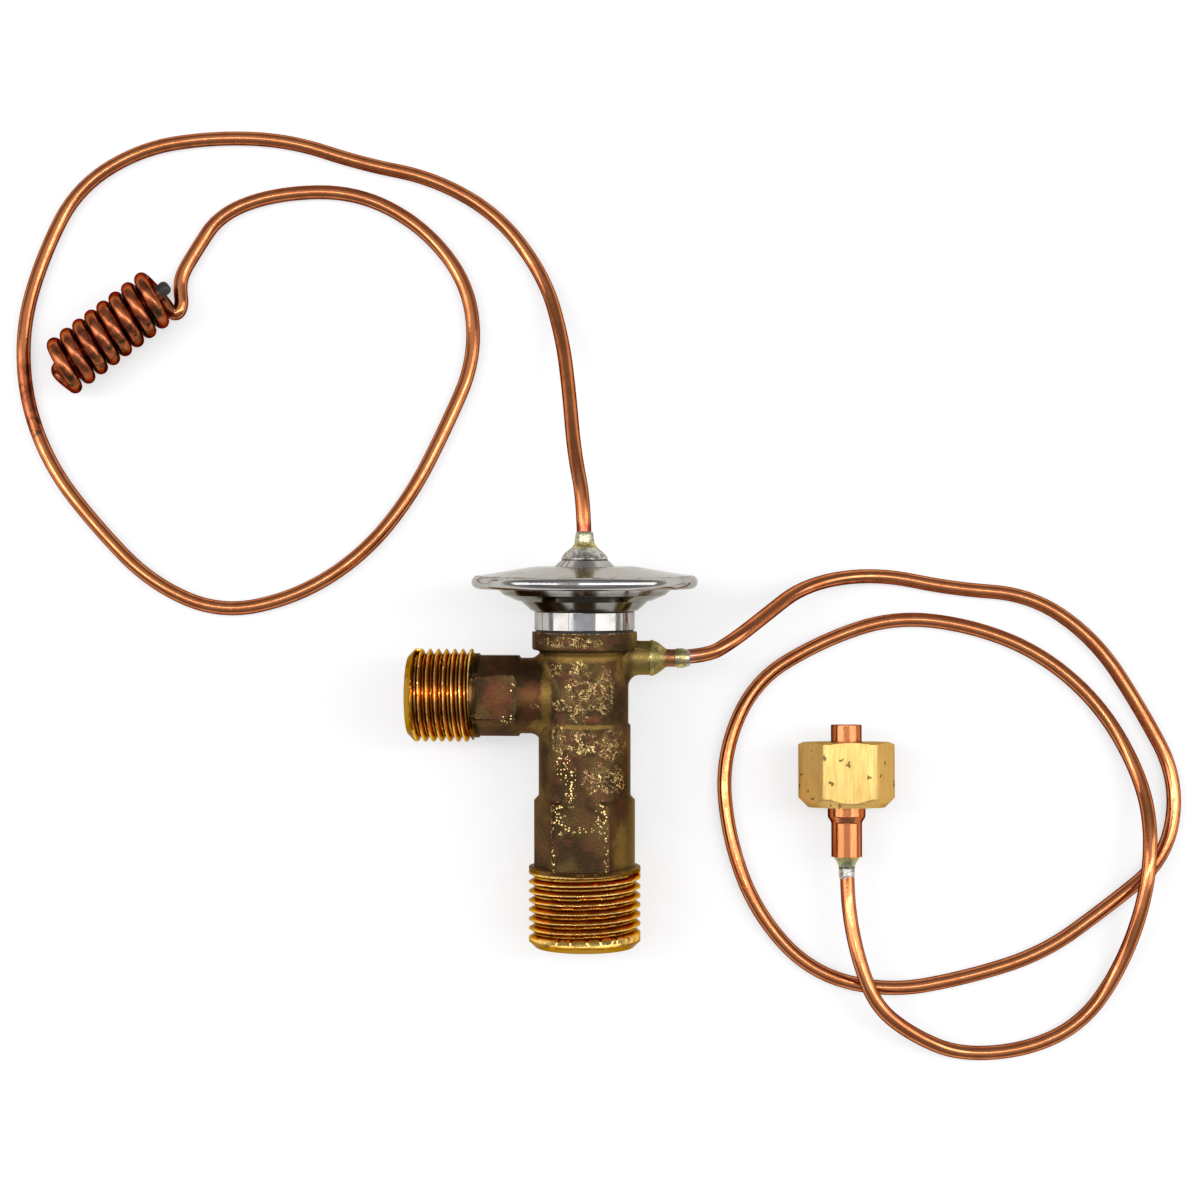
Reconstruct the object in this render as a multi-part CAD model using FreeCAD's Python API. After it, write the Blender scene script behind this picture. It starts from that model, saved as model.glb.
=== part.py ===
import FreeCAD, Part
import math
import os
from FreeCAD import Placement, Rotation, Vector

# Expansion valve of a cooling circuit, lying as it comes to rest on a table.
# Sizes are millimetres and degrees. Each valve piece is drawn upright first: the valve's axis is Z,
# the inlet points to -X, the equalizer port to +X and the front faces -Y.
# At the end all of them are laid down together on the rim of the head and on the outlet thread.

# Outlet fitting, 3/4-16 thread, at the foot of the body
outlet_thread_r = 9.525
outlet_thread_length = 13.6
outlet_end_bevel = 1.0
outlet_hex_flats = 16.1
outlet_hex_length = 11.4
outlet_hex_bevel = 0.8
outlet_hex_foot_bevel = 0.4
forging_half_width = 8.53
forged_corner_r = 0.5
outlet_bore_r = 6.0

# How far a cutting tool runs past the face that it opens
cut_beyond = 1.0

# Columns and flange of the body
lower_column_r = 7.83
lower_column_length = 12.3
upper_column_r = 7.46
upper_column_length = 12.5
column_step = 0.4
body_flange_r = 8.92
body_flange_length = 3.0
flange_fillet_r = 1.1
flange_edge_r = 0.3

# Inlet fitting, 5/8-18 thread, on the left
inlet_above_step = 5.0
inlet_neck_r = 6.45
inlet_neck_length = 10.9
inlet_neck_fillet = 1.8
inlet_hex_flats = 13.0
inlet_hex_length = 7.1
inlet_hex_half_height = 6.85
inlet_hex_bevel = 0.7
inlet_shoulder_r = 7.2
inlet_shoulder_length = 0.96
inlet_thread_r = 7.9375
inlet_thread_length = 11.1
inlet_end_bevel = 1.15
inlet_bore_r = 5.0
inlet_bore_length = 13.6
inlet_passage_r = 3.4
inlet_chamber_r = 3.4
chamber_below_inlet = 2.7
chamber_above_inlet = 2.9

# Equalizer port on the right
port_below_flange_top = 4.4
port_boss_r = 2.9
port_boss_length = 11.1
port_boss_fillet = 2.0
port_socket_r = 1.9
port_socket_depth = 3.6
port_passage_r = 0.8
port_riser_x = 4.2

# Bore for the orifice insert, guide of the push rod, and the recess for the head
seat_bore_r = 3.0
seat_bore_length = 5.0
rod_r = 0.95
rod_tip_bevel = 0.2
running_gap = 0.05
seal_pocket_r = 2.2
seal_pocket_depth = 2.6
head_recess_r = 6.5
head_recess_depth = 2.4

# Orifice insert with the valve seat
orifice_r = 1.4
seat_flange_r = 4.0
seat_flange_t = 0.8
seat_cone = 0.5

# Ball, its carrier and the superheat spring
ball_r = 1.9
ball_lift_gap = 0.04
carrier_r = 2.7
carrier_height = 2.8
carrier_rim_height = 0.55
carrier_collar_height = 1.0
carrier_foot_step = 0.5
carrier_flange_r = 4.3
carrier_flange_t = 1.0
spring_coil_r = 3.4
spring_wire_r = 0.5
spring_turns = 5.0
spring_end_gap = 0.05

# Spring seat and adjusting screw in the outlet bore
screw_depth = 6.4
screw_length = 3.6
screw_play = 0.05
screw_key_flats = 5.0
screw_key_depth = 2.2
screw_hole_r = 0.95
screw_hole_circle_r = 4.3
screw_holes = 6
spring_seat_r = 4.6
spring_seat_t = 1.2
spring_seat_pin_r = 1.5
spring_seat_pin_length = 1.2
spring_seat_nose_r = 2.6
spring_seat_nose_height = 1.4
adjuster_face_gap = 0.05

# Inlet strainer
strainer_wall = 0.3
strainer_play = 0.05
strainer_rim_t = 0.6
strainer_ring_bevel = 0.3
strainer_length = 8.0
strainer_tip_r = 2.2
strainer_ring_length = 1.6
strainer_ring_wall = 0.9
strainer_ring_depth = 5.4

# Power head: collar, pressed housings, diaphragm and buffer plate
gasket_t = 0.3
gasket_play = 0.1
gasket_inset = 0.25
collar_edge_r = 0.2
collar_r = 8.53
collar_length = 3.3
collar_bore_r = 4.9
collar_spigot_gap = 0.03
collar_spigot_length = 1.9
collar_neck_r = 6.2
collar_neck_length = 0.8
lower_sheet = 0.8
upper_sheet = 0.7
sheet_bend_r = 0.5
small_bend_r = 0.3
lower_floor_width = 2.8
lower_step_rise_width = 1.95
lower_step_width = 0.65
lower_step_height = 1.75
lower_shoulder_width = 2.2
lower_shoulder_height = 2.75
lower_flange_rise_width = 1.8
lower_flange_height = 4.3
lower_flange_width = 3.6
rim_lip_t = 0.5
rim_lip_width = 2.6
rim_round_r = 1.05
rim_wall = 0.8
rim_bend_r = 1.0
rim_slope_end = 0.4
diaphragm_t = 0.2
ripple_height = 0.35
ripple_width = 2.0
ripple_slope = 0.5
ripple_clear = 1.6
ripples = 2
cone_rise = 1.5
cone_flat_width = 3.5
cone_bend_r = 6.0
buffer_side_gap = 0.4
buffer_t = 1.3
buffer_edge_bevel = 0.3
buffer_gap = 0.05
buffer_boss_r = 2.4
buffer_boss_height = 1.6
buffer_boss_socket = 0.9

# Nipple of the head and the brazes round the tubes
tube_r = 1.25
tube_hole_gap = 0.02
straight_exit = 3.0
head_straight_exit = 4.5
nipple_r = 5.1
nipple_shoulder_r = 3.98
nipple_height = 1.1
nipple_spigot_r = 1.9
nipple_edge_r = 0.2
head_braze_height = 4.85
head_braze_inset = 0.2
head_braze_dome = 1.2
head_braze_slope = 0.1
head_braze_neck_r = 1.5
head_braze_neck_foot = 2.0
head_braze_neck_bend_r = 0.8
head_braze_tip = 0.6
head_braze_tip_bend_r = 2.0
braze_skin = 0.1

# Swaged stub of the port
stub_lip_r = 3.05
stub_lip_length = 0.5
stub_lip_edge_r = 0.15
stub_shoulder_inset = 0.5
stub_shoulder_length = 1.0
stub_shoulder_bend_r = 0.8
stub_cone_length = 2.3
stub_tip_r = 1.5
stub_tip_bend_r = 0.9
stub_neck_length = 1.7
stub_spigot_length = 3.4
stub_braze_length = 2.0
stub_braze_r = 1.62
stub_braze_slope = 0.5
stub_braze_bend_r = 0.4
stub_straight_exit = 2.8

# Equalizer nut, its ferrule and braze, drawn upright with the tube's end down
nut_flats = 15.0
nut_corner_r = 8.27
nut_length = 11.2
nut_back_wall = 2.6
nut_back_face_r = 6.65
nut_front_face_r = 7.35
nut_front_bevel = 0.55
nut_thread_r = 4.95
nut_mouth_r = 5.55
ferrule_r = 3.25
ferrule_bore_r = 1.9
ferrule_collar_length = 1.7
ferrule_taper = 0.95
ferrule_tail_r = 2.65
ferrule_tail_length = 5.9
ferrule_bead_r = 4.6
ferrule_bead_length = 1.3
ferrule_pilot_proud = 3.0
ferrule_tail_bend_r = 0.6
ferrule_collar_bend_r = 0.4
ferrule_mouth_edge_r = 0.2
seal_squeeze = 0.05
groove_depth = 0.5
groove_width = 1.1
groove_above_bead = 2.0
ferrule_braze_cone = 1.7
ferrule_braze_depth = 3.0
ferrule_braze_foot_r = 2.3
braze_tip_wall = 0.25
braze_neck_bend_r = 0.6

# Sensing coil: the end of the capillary wound on itself
coil_turns = 8
coil_pitch = 2.72
coil_outer_r = 5.3
coil_web_r = 4.5
coil_lead_in = 0.9
coil_edge_turn = 0.8
tail_proud = 2.8
tail_aside = 0.8
tail_foot_edge_r = 0.4
tail_nose_r = 0.9

# How the pieces lie on the table
valve_roll = 4.0
nut_tilt = 5.0
nut_place = (50.8, -10.65)
coil_middle = (-79.0, 73.5)
coil_turned = 37.9

# Routes of the two tubes on the table, x, y and height, after their straight exits
capillary_route = [
    (3.8, 49.5, 18.4), (2.9, 61.0, 11.6), (1.6, 72.5, 4.6), (-1.6, 84.5, 1.25),
    (-9.9, 96.0, 1.25), (-21.9, 103.0, 1.25), (-34.9, 105.6, 1.25), (-47.9, 110.0, 1.25),
    (-61.4, 110.6, 1.25), (-74.9, 108.5, 1.25), (-86.3, 101.0, 1.25), (-92.0, 88.6, 1.25),
    (-95.4, 75.6, 1.25), (-94.4, 62.0, 1.25), (-89.4, 49.6, 1.25), (-80.9, 39.0, 1.25),
    (-71.3, 29.2, 1.25), (-58.9, 23.7, 1.25), (-45.4, 26.6, 1.25), (-33.9, 34.0, 1.25),
    (-25.4, 44.6, 1.25), (-19.3, 57.0, 1.25), (-14.0, 69.6, 1.25), (-15.2, 83.2, 1.25),
    (-23.8, 94.2, 1.25), (-35.9, 100.5, 1.25), (-49.9, 100.2, 1.25), (-60.3, 96.4, 1.25),
    (-65.0, 90.6, 1.25), (-66.8, 84.2, 1.25), (-66.4, 80.1, 1.25), (-68.2, 78.2, 1.25),
    (-70.8, 78.3, 1.25), (-72.5, 80.3, 1.25),
]
equalizer_route = [
    (31.0, 17.2, 17.2), (36.0, 21.4, 13.0), (44.2, 28.4, 6.0), (57.0, 30.9, 1.5),
    (70.6, 28.1, 1.25), (84.6, 27.1, 1.25), (95.7, 19.1, 1.25), (103.2, 7.1, 1.25),
    (109.6, -5.6, 1.25), (107.2, -19.4, 1.25), (96.2, -28.0, 1.25), (85.2, -35.8, 1.25),
    (71.6, -40.0, 1.25), (58.0, -42.4, 1.25), (44.6, -39.0, 1.25), (35.2, -28.4, 1.25),
    (30.6, -15.4, 1.25), (29.6, -1.8, 1.25), (35.2, 11.6, 1.25), (47.2, 18.8, 1.25),
    (60.2, 23.2, 1.25), (73.8, 21.6, 1.25), (86.2, 16.6, 1.25), (96.6, 7.2, 1.25),
    (102.9, -5.4, 2.6), (103.6, -15.8, 6.7), (102.0, -27.0, 6.7), (98.6, -38.0, 2.2),
    (92.2, -47.4, 1.25), (82.6, -52.2, 1.25), (70.6, -53.2, 1.4), (62.2, -49.8, 4.0),
    (55.6, -44.9, 6.8), (52.8, -37.6, 6.8), (51.3, -30.4, 6.5),
]


# Heights that follow from the sizes above
hex_foot = outlet_thread_length
hex_top = hex_foot + outlet_hex_length
column_foot = hex_top + outlet_hex_bevel
step_z = column_foot + lower_column_length - column_step
flange_foot = step_z + upper_column_length + column_step
flange_top = flange_foot + body_flange_length
inlet_z = step_z + inlet_above_step
port_z = flange_top - port_below_flange_top
chamber_foot = inlet_z - chamber_below_inlet
chamber_top = inlet_z + chamber_above_inlet
seat_bore_foot = chamber_foot - seat_bore_length
recess_floor = flange_top - head_recess_depth
pocket_floor = recess_floor - seal_pocket_depth
collar_foot = flange_top + gasket_t
collar_top = collar_foot + collar_length
lower_floor_r = collar_neck_r + lower_floor_width
lower_step_foot_r = lower_floor_r + lower_step_rise_width
lower_step_r = lower_step_foot_r + lower_step_width
lower_shoulder_r = lower_step_r + lower_shoulder_width
lower_flange_inner_r = lower_shoulder_r + lower_flange_rise_width
rim_r = lower_flange_inner_r + lower_flange_width
rim_lip_r = rim_r - rim_lip_width
rim_slot_r = rim_r - rim_wall
buffer_r = lower_floor_r - buffer_side_gap
ripple_start_r = buffer_r + ripple_clear
cone_flat_r = nipple_r + cone_flat_width
lower_flange_z = collar_top + lower_flange_height
diaphragm_z = lower_flange_z + lower_sheet
rim_foot = lower_flange_z - rim_lip_t
rim_top = diaphragm_z + diaphragm_t + upper_sheet
rim_middle = (rim_foot + rim_top) / 2
cone_top = rim_top + cone_rise
nipple_top = cone_top + nipple_height
braze_top = nipple_top + head_braze_height
buffer_top = diaphragm_z - buffer_gap
buffer_foot = buffer_top - buffer_t
seat_edge_z = seat_bore_foot - seat_flange_t + seat_cone
ball_z = seat_edge_z - math.sqrt(ball_r**2 - orifice_r**2) - ball_lift_gap
ball_contact_z = ball_z - ball_r * math.cos(math.radians(45))
carrier_top = ball_contact_z + carrier_rim_height
carrier_flange_top = carrier_top - carrier_collar_height
carrier_foot = carrier_top - carrier_height
screw_top = screw_depth + screw_length
spring_seat_foot = screw_top + adjuster_face_gap
spring_seat_top = spring_seat_foot + spring_seat_t
inlet_hex_x = inlet_neck_length + inlet_hex_length
inlet_thread_x = inlet_hex_x + inlet_shoulder_length
inlet_tip_x = inlet_thread_x + inlet_thread_length
inlet_bore_x = inlet_tip_x - inlet_bore_length
stub_end = port_boss_length + stub_lip_length + stub_cone_length + stub_neck_length
tube_hole_r = tube_r + tube_hole_gap
seal_section_r = (seal_pocket_r - rod_r - running_gap) / 2
ferrule_tail_z = -ferrule_collar_length - ferrule_taper - ferrule_tail_length
coil_bore_r = coil_outer_r - 2 * tube_r

# The valve's lean: the rim of the head and the outlet thread touch the table
contact_run = rim_middle - outlet_end_bevel
contact_rise = rim_r - rim_round_r - outlet_thread_r
valve_pitch = math.degrees(
    math.atan2(contact_rise, contact_run)
    + math.asin(rim_round_r / math.hypot(contact_rise, contact_run))
)
foot_height = (
    outlet_thread_r * math.cos(math.radians(valve_pitch))
    - outlet_end_bevel * math.sin(math.radians(valve_pitch))
)


def rounded_wire(corners, closed):
    """Wire through corner points; each corner is (point, radius) and gets a tangent arc."""
    count = len(corners)
    edges = []
    last_end = None
    first_start = None
    for index in range(count):
        point, radius = corners[index]
        inner = closed or 0 < index < count - 1
        if not inner or radius <= 0:
            start = point
            end = point
        else:
            before = corners[index - 1][0]
            after = corners[(index + 1) % count][0]
            back = (before - point).normalize()
            ahead = (after - point).normalize()
            half = back.getAngle(ahead) / 2
            reach = radius / math.tan(half)
            start = point + back * reach
            end = point + ahead * reach
            inward = (back + ahead).normalize()
            middle = point + inward * (radius / math.sin(half) - radius)
        if last_end is not None and last_end.distanceToPoint(start) > 1e-6:
            edges.append(Part.LineSegment(last_end, start).toShape())
        if end.distanceToPoint(start) > 1e-6:
            edges.append(Part.Arc(start, middle, end).toShape())
        if first_start is None:
            first_start = start
        last_end = end
    if closed and last_end.distanceToPoint(first_start) > 1e-6:
        edges.append(Part.LineSegment(last_end, first_start).toShape())
    return Part.Wire(edges)


def turned(profile):
    """Solid of revolution about Z from (radius, height) or (radius, height, rounding) corners."""
    corners = []
    for corner in profile:
        rounding = corner[2] if len(corner) > 2 else 0
        corners.append((Vector(corner[0], 0, corner[1]), rounding))
    face = Part.Face(rounded_wire(corners, True))
    return face.revolve(Vector(0, 0, 0), Vector(0, 0, 1), 360)


def rod(radius, foot, top):
    return Part.makeCylinder(radius, top - foot, Vector(0, 0, foot))


half_side_turn = 30


def hexagon_rod(flats, foot, top, turn):
    """Hexagonal bar about Z; turn 0 puts two corners on the X axis."""
    corner_r = flats / math.sqrt(3)
    points = []
    for index in range(7):
        angle = math.radians(turn + 2 * half_side_turn * index)
        points.append(Vector(corner_r * math.cos(angle), corner_r * math.sin(angle), foot))
    return Part.Face(Part.makePolygon(points)).extrude(Vector(0, 0, top - foot))


def to_inlet(shape, height):
    """Turn a piece drawn about Z so that its Z runs along -X at this height."""
    return shape.transformed(
        Placement(Vector(0, 0, height), Rotation(Vector(0, 1, 0), -90)).toMatrix()
    )


def to_port(shape, height):
    """Turn a piece drawn about Z so that its Z runs along +X at this height."""
    return shape.transformed(
        Placement(Vector(0, 0, height), Rotation(Vector(0, 1, 0), 90)).toMatrix()
    )


def branch_core():
    """Upper column with the round inlet neck and the port boss grown out of it by fillets."""
    column = rod(upper_column_r, column_foot, flange_top + port_boss_fillet)
    column.rotate(Vector(0, 0, 0), Vector(0, 0, 1), 90)
    neck = to_inlet(rod(inlet_neck_r, 0, inlet_neck_length), inlet_z)
    core = column.fuse(neck).removeSplitter()
    seams = [e for e in core.Edges if on_seam(e, -1, inlet_neck_length, inlet_neck_r)]
    core = core.makeFillet(inlet_neck_fillet, seams)
    boss = to_port(rod(port_boss_r, 0, port_boss_length), port_z)
    core = core.fuse(boss).removeSplitter()
    seams = [e for e in core.Edges if on_seam(e, 1, port_boss_length, port_boss_r)]
    core = core.makeFillet(port_boss_fillet, seams)
    below_flange_edge = rod(inlet_neck_length + port_boss_length, column_foot, flange_top - flange_edge_r)
    return core.common(below_flange_edge)


def on_seam(edge, side, reach, branch_r):
    """True for the edge where a branch on this side leaves the upper column."""
    almost = 0.99
    box = edge.BoundBox
    inner = min(abs(box.XMin), abs(box.XMax))
    outer = max(abs(box.XMin), abs(box.XMax))
    wide = min(box.YLength, box.ZLength) > branch_r
    right_side = box.Center.x * side > 0
    between = inner < almost * upper_column_r and outer < almost * reach
    return wide and right_side and between


def outlet_end():
    thread = turned([
        (0, 0),
        (outlet_thread_r - outlet_end_bevel, 0),
        (outlet_thread_r, outlet_end_bevel),
        (outlet_thread_r, hex_foot),
        (0, hex_foot),
    ])
    bar = forged_hexagon(outlet_hex_flats, hex_foot, column_foot, forging_half_width)
    corner_r = outlet_hex_flats / math.sqrt(3)
    bevel = turned([
        (0, hex_foot),
        (corner_r - outlet_hex_foot_bevel, hex_foot),
        (corner_r, hex_foot + outlet_hex_foot_bevel),
        (corner_r, hex_top - outlet_hex_bevel),
        (lower_column_r, column_foot),
        (0, column_foot),
    ])
    return thread.fuse(bar.common(bevel))


def forged_hexagon(flats, foot, top, half_width):
    """Hexagon with soft corners; the two corners on X are trimmed to this half width."""
    bar = hexagon_rod(flats, foot, top, 0)
    trim = Part.makeBox(
        2 * half_width, 2 * flats, top - foot, Vector(-half_width, -flats, foot)
    )
    bar = bar.common(trim)
    uprights = [e for e in bar.Edges if e.BoundBox.ZLength > (top - foot) / 2]
    return bar.makeFillet(forged_corner_r, uprights)


def inlet_end():
    """Hexagon, shoulder and thread of the inlet, drawn along Z from the valve's axis."""
    bar = forged_hexagon(
        inlet_hex_flats, inlet_neck_length, inlet_hex_x, inlet_hex_half_height
    )
    corner_r = inlet_hex_flats / math.sqrt(3)
    bevel = turned([
        (0, inlet_neck_length),
        (inlet_neck_r, inlet_neck_length),
        (corner_r, inlet_neck_length + inlet_hex_bevel),
        (corner_r, inlet_hex_x),
        (0, inlet_hex_x),
    ])
    thread = turned([
        (0, inlet_hex_x),
        (inlet_shoulder_r, inlet_hex_x),
        (inlet_shoulder_r, inlet_thread_x),
        (inlet_thread_r, inlet_thread_x),
        (inlet_thread_r, inlet_tip_x - inlet_end_bevel),
        (inlet_thread_r - inlet_end_bevel, inlet_tip_x),
        (0, inlet_tip_x),
    ])
    return bar.common(bevel).fuse(thread)


def columns_and_flange():
    return turned([
        (0, column_foot),
        (lower_column_r, column_foot),
        (lower_column_r, step_z),
        (upper_column_r, step_z + column_step),
        (upper_column_r, flange_foot, flange_fillet_r),
        (body_flange_r, flange_foot, flange_edge_r),
        (body_flange_r, flange_top),
        (0, flange_top),
    ])


def body_passages():
    """Everything that is bored out of the forging."""
    outlet = rod(outlet_bore_r, -cut_beyond, seat_bore_foot)
    seat = rod(seat_bore_r, seat_bore_foot - cut_beyond, chamber_foot)
    chamber = rod(inlet_chamber_r, chamber_foot, chamber_top)
    guide = rod(rod_r + running_gap, chamber_top - cut_beyond, flange_top)
    pocket = rod(seal_pocket_r, pocket_floor, flange_top)
    recess = rod(head_recess_r, recess_floor, flange_top + cut_beyond)
    inlet = to_inlet(rod(inlet_bore_r, inlet_bore_x, inlet_tip_x + cut_beyond), inlet_z)
    passage = to_inlet(rod(inlet_passage_r, 0, inlet_bore_x + cut_beyond), inlet_z)
    socket_foot = port_boss_length - port_socket_depth
    socket = to_port(rod(port_socket_r, socket_foot, port_boss_length + cut_beyond), port_z)
    cross = to_port(rod(port_passage_r, port_riser_x, port_boss_length), port_z)
    riser = rod(port_passage_r, port_z, flange_top).translated(Vector(port_riser_x, 0, 0))
    return [outlet, seat, chamber, guide, pocket, recess, inlet, passage, socket, cross, riser]


def valve_body():
    """One forging with its fittings, turned and bored: the piece that takes the most skill."""
    solid = branch_core().fuse([
        columns_and_flange(),
        outlet_end(),
        to_inlet(inlet_end(), inlet_z),
    ])
    return solid.cut(body_passages())


def orifice_seat():
    """Insert pressed up into the body; the ball closes on its lower edge."""
    foot = seat_bore_foot - seat_flange_t
    return turned([
        (orifice_r + seat_cone, foot),
        (seat_flange_r, foot),
        (seat_flange_r, seat_bore_foot),
        (seat_bore_r, seat_bore_foot),
        (seat_bore_r, chamber_foot),
        (orifice_r, chamber_foot),
        (orifice_r, seat_edge_z),
    ])


def push_rod():
    tip = ball_z + ball_r
    return turned([
        (0, tip),
        (rod_r - rod_tip_bevel, tip),
        (rod_r, tip + rod_tip_bevel),
        (rod_r, buffer_foot + buffer_boss_socket),
        (0, buffer_foot + buffer_boss_socket),
    ])


def valve_ball():
    return Part.makeSphere(ball_r, Vector(0, 0, ball_z))


def ball_carrier():
    """Cup under the ball with a flange for the spring."""
    cup_r = ball_r * math.sin(math.radians(45))
    mouth_r = cup_r + (carrier_top - ball_contact_z)
    return turned([
        (0, carrier_foot),
        (carrier_r - carrier_foot_step, carrier_foot),
        (carrier_r - carrier_foot_step, carrier_flange_top - carrier_flange_t),
        (carrier_flange_r, carrier_flange_top - carrier_flange_t),
        (carrier_flange_r, carrier_flange_top),
        (carrier_r, carrier_flange_top),
        (carrier_r, carrier_top),
        (mouth_r, carrier_top),
        (0, carrier_top - mouth_r),
    ])


def superheat_spring():
    """Coil spring between the spring seat and the flange of the ball carrier."""
    foot = spring_seat_top + spring_wire_r + spring_end_gap
    top = carrier_flange_top - carrier_flange_t - spring_wire_r - spring_end_gap
    pitch = (top - foot) / spring_turns
    path = Part.Wire(Part.makeHelix(pitch, top - foot, spring_coil_r))
    ring = Part.Wire(Part.makeCircle(spring_wire_r, Vector(spring_coil_r, 0, 0), Vector(0, 1, 0)))
    return Part.Wire(path).makePipeShell([ring], True, True).translated(Vector(0, 0, foot))


def spring_seat():
    """Washer between the adjusting screw and the spring, with a pin in the screw."""
    return turned([
        (0, spring_seat_foot - spring_seat_pin_length),
        (spring_seat_pin_r, spring_seat_foot - spring_seat_pin_length),
        (spring_seat_pin_r, spring_seat_foot),
        (spring_seat_r, spring_seat_foot),
        (spring_seat_r, spring_seat_top),
        (spring_seat_nose_r, spring_seat_top),
        (spring_seat_nose_r, spring_seat_top + spring_seat_nose_height),
        (0, spring_seat_top + spring_seat_nose_height),
    ])


def adjusting_screw():
    """Disc threaded in the outlet bore, with a hexagon socket and a ring of flow holes."""
    disc = rod(outlet_bore_r - screw_play, screw_depth, screw_top)
    key_foot = screw_depth - cut_beyond
    key = hexagon_rod(screw_key_flats, key_foot, screw_depth + screw_key_depth, 0)
    centre = rod(spring_seat_pin_r + running_gap, screw_depth, screw_top + cut_beyond)
    cuts = [key, centre]
    for index in range(screw_holes):
        angle = 2 * math.pi * index / screw_holes
        place = Vector(
            screw_hole_circle_r * math.cos(angle), screw_hole_circle_r * math.sin(angle), 0
        )
        hole = rod(screw_hole_r, screw_depth - cut_beyond, screw_top + cut_beyond)
        cuts.append(hole.translated(place))
    return disc.cut(cuts)


def inlet_strainer():
    """Fine screen drawn as a thin tapering cup, open towards the inlet."""
    mouth = inlet_tip_x - strainer_ring_depth - strainer_ring_length
    tip = mouth - strainer_length
    mouth_r = inlet_bore_r - strainer_ring_wall
    cup = turned([
        (0, tip),
        (strainer_tip_r, tip),
        (mouth_r, mouth - strainer_rim_t),
        (inlet_bore_r - strainer_play, mouth - strainer_rim_t),
        (inlet_bore_r - strainer_play, mouth),
        (mouth_r - strainer_wall, mouth),
        (strainer_tip_r - strainer_wall, tip + strainer_wall),
        (0, tip + strainer_wall),
    ])
    return to_inlet(cup, inlet_z)


def strainer_ring():
    mouth = inlet_tip_x - strainer_ring_depth
    ring = turned([
        (inlet_bore_r - strainer_ring_wall, mouth - strainer_ring_length),
        (inlet_bore_r, mouth - strainer_ring_length),
        (inlet_bore_r, mouth),
        (inlet_bore_r - strainer_ring_wall + strainer_ring_bevel, mouth),
        (inlet_bore_r - strainer_ring_wall, mouth - strainer_ring_bevel),
    ])
    return to_inlet(ring, inlet_z)


def rod_seal():
    centre_r = seal_pocket_r - seal_section_r
    return Part.makeTorus(centre_r, seal_section_r, Vector(0, 0, pocket_floor + seal_section_r))


def rod_seal_ring():
    """Ring pressed over the rod's seal."""
    foot = pocket_floor + 2 * seal_section_r
    return turned([
        (rod_r + running_gap, foot),
        (seal_pocket_r, foot),
        (seal_pocket_r, recess_floor),
        (rod_r + running_gap, recess_floor),
    ])


def head_gasket():
    return turned([
        (head_recess_r + gasket_play, flange_top),
        (collar_r - gasket_inset, flange_top),
        (collar_r - gasket_inset, collar_foot),
        (head_recess_r + gasket_play, collar_foot),
    ])


def head_collar():
    """Base of the power head: its spigot screws into the body, its neck holds the housing."""
    return turned([
        (collar_bore_r, collar_foot - collar_spigot_length),
        (head_recess_r - collar_spigot_gap, collar_foot - collar_spigot_length),
        (head_recess_r - collar_spigot_gap, collar_foot),
        (collar_r, collar_foot, collar_edge_r),
        (collar_r, collar_top, collar_edge_r),
        (collar_neck_r, collar_top),
        (collar_neck_r, collar_top + collar_neck_length),
        (collar_bore_r, collar_top + collar_neck_length),
    ])


def lower_housing():
    """Pressed sheet: flat floor, two steps and the flange that the rim is rolled over."""
    step_z = collar_top + lower_step_height
    shoulder_z = collar_top + lower_shoulder_height
    under = [
        (collar_neck_r, collar_top),
        (lower_floor_r, collar_top, sheet_bend_r),
        (lower_step_foot_r, step_z, small_bend_r),
        (lower_step_r, step_z, small_bend_r),
        (lower_shoulder_r, shoulder_z, sheet_bend_r),
        (lower_flange_inner_r, lower_flange_z, sheet_bend_r),
        (rim_slot_r, lower_flange_z),
    ]
    over = []
    for corner in reversed(under):
        bend = lower_sheet / 2 if 0 < under.index(corner) < len(under) - 1 else 0
        over.append((corner[0] - bend, corner[1] + lower_sheet) + corner[2:])
    return turned(under + over)


def upper_housing():
    """Shallow cone whose edge is rolled round the lower flange and the diaphragm."""
    outer = [
        (nipple_spigot_r, cone_top),
        (cone_flat_r, cone_top, cone_bend_r),
        (rim_r - rim_round_r - rim_slope_end, rim_top, rim_bend_r),
        (rim_r, rim_top, rim_round_r),
        (rim_r, rim_foot, rim_round_r),
        (rim_lip_r, rim_foot),
    ]
    inner = [
        (rim_lip_r, lower_flange_z),
        (rim_slot_r, lower_flange_z),
        (rim_slot_r, diaphragm_z + diaphragm_t),
        (rim_lip_r, diaphragm_z + diaphragm_t, rim_bend_r),
        (cone_flat_r, cone_top - upper_sheet, cone_bend_r),
        (nipple_spigot_r, cone_top - upper_sheet),
    ]
    return turned(outer + inner)


def diaphragm():
    """Thin rippled disc clamped in the rolled rim."""
    under = [(0, diaphragm_z)]
    over = []
    for index in range(ripples):
        start = ripple_start_r + index * ripple_width
        crest_end = start + ripple_width - 2 * ripple_slope
        under.append((start, diaphragm_z))
        under.append((start + ripple_slope, diaphragm_z + ripple_height))
        under.append((crest_end, diaphragm_z + ripple_height))
        under.append((crest_end + ripple_slope, diaphragm_z))
    under.append((rim_slot_r, diaphragm_z))
    for corner in reversed(under):
        over.append((corner[0], corner[1] + diaphragm_t) + corner[2:])
    return turned(under + over)


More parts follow.
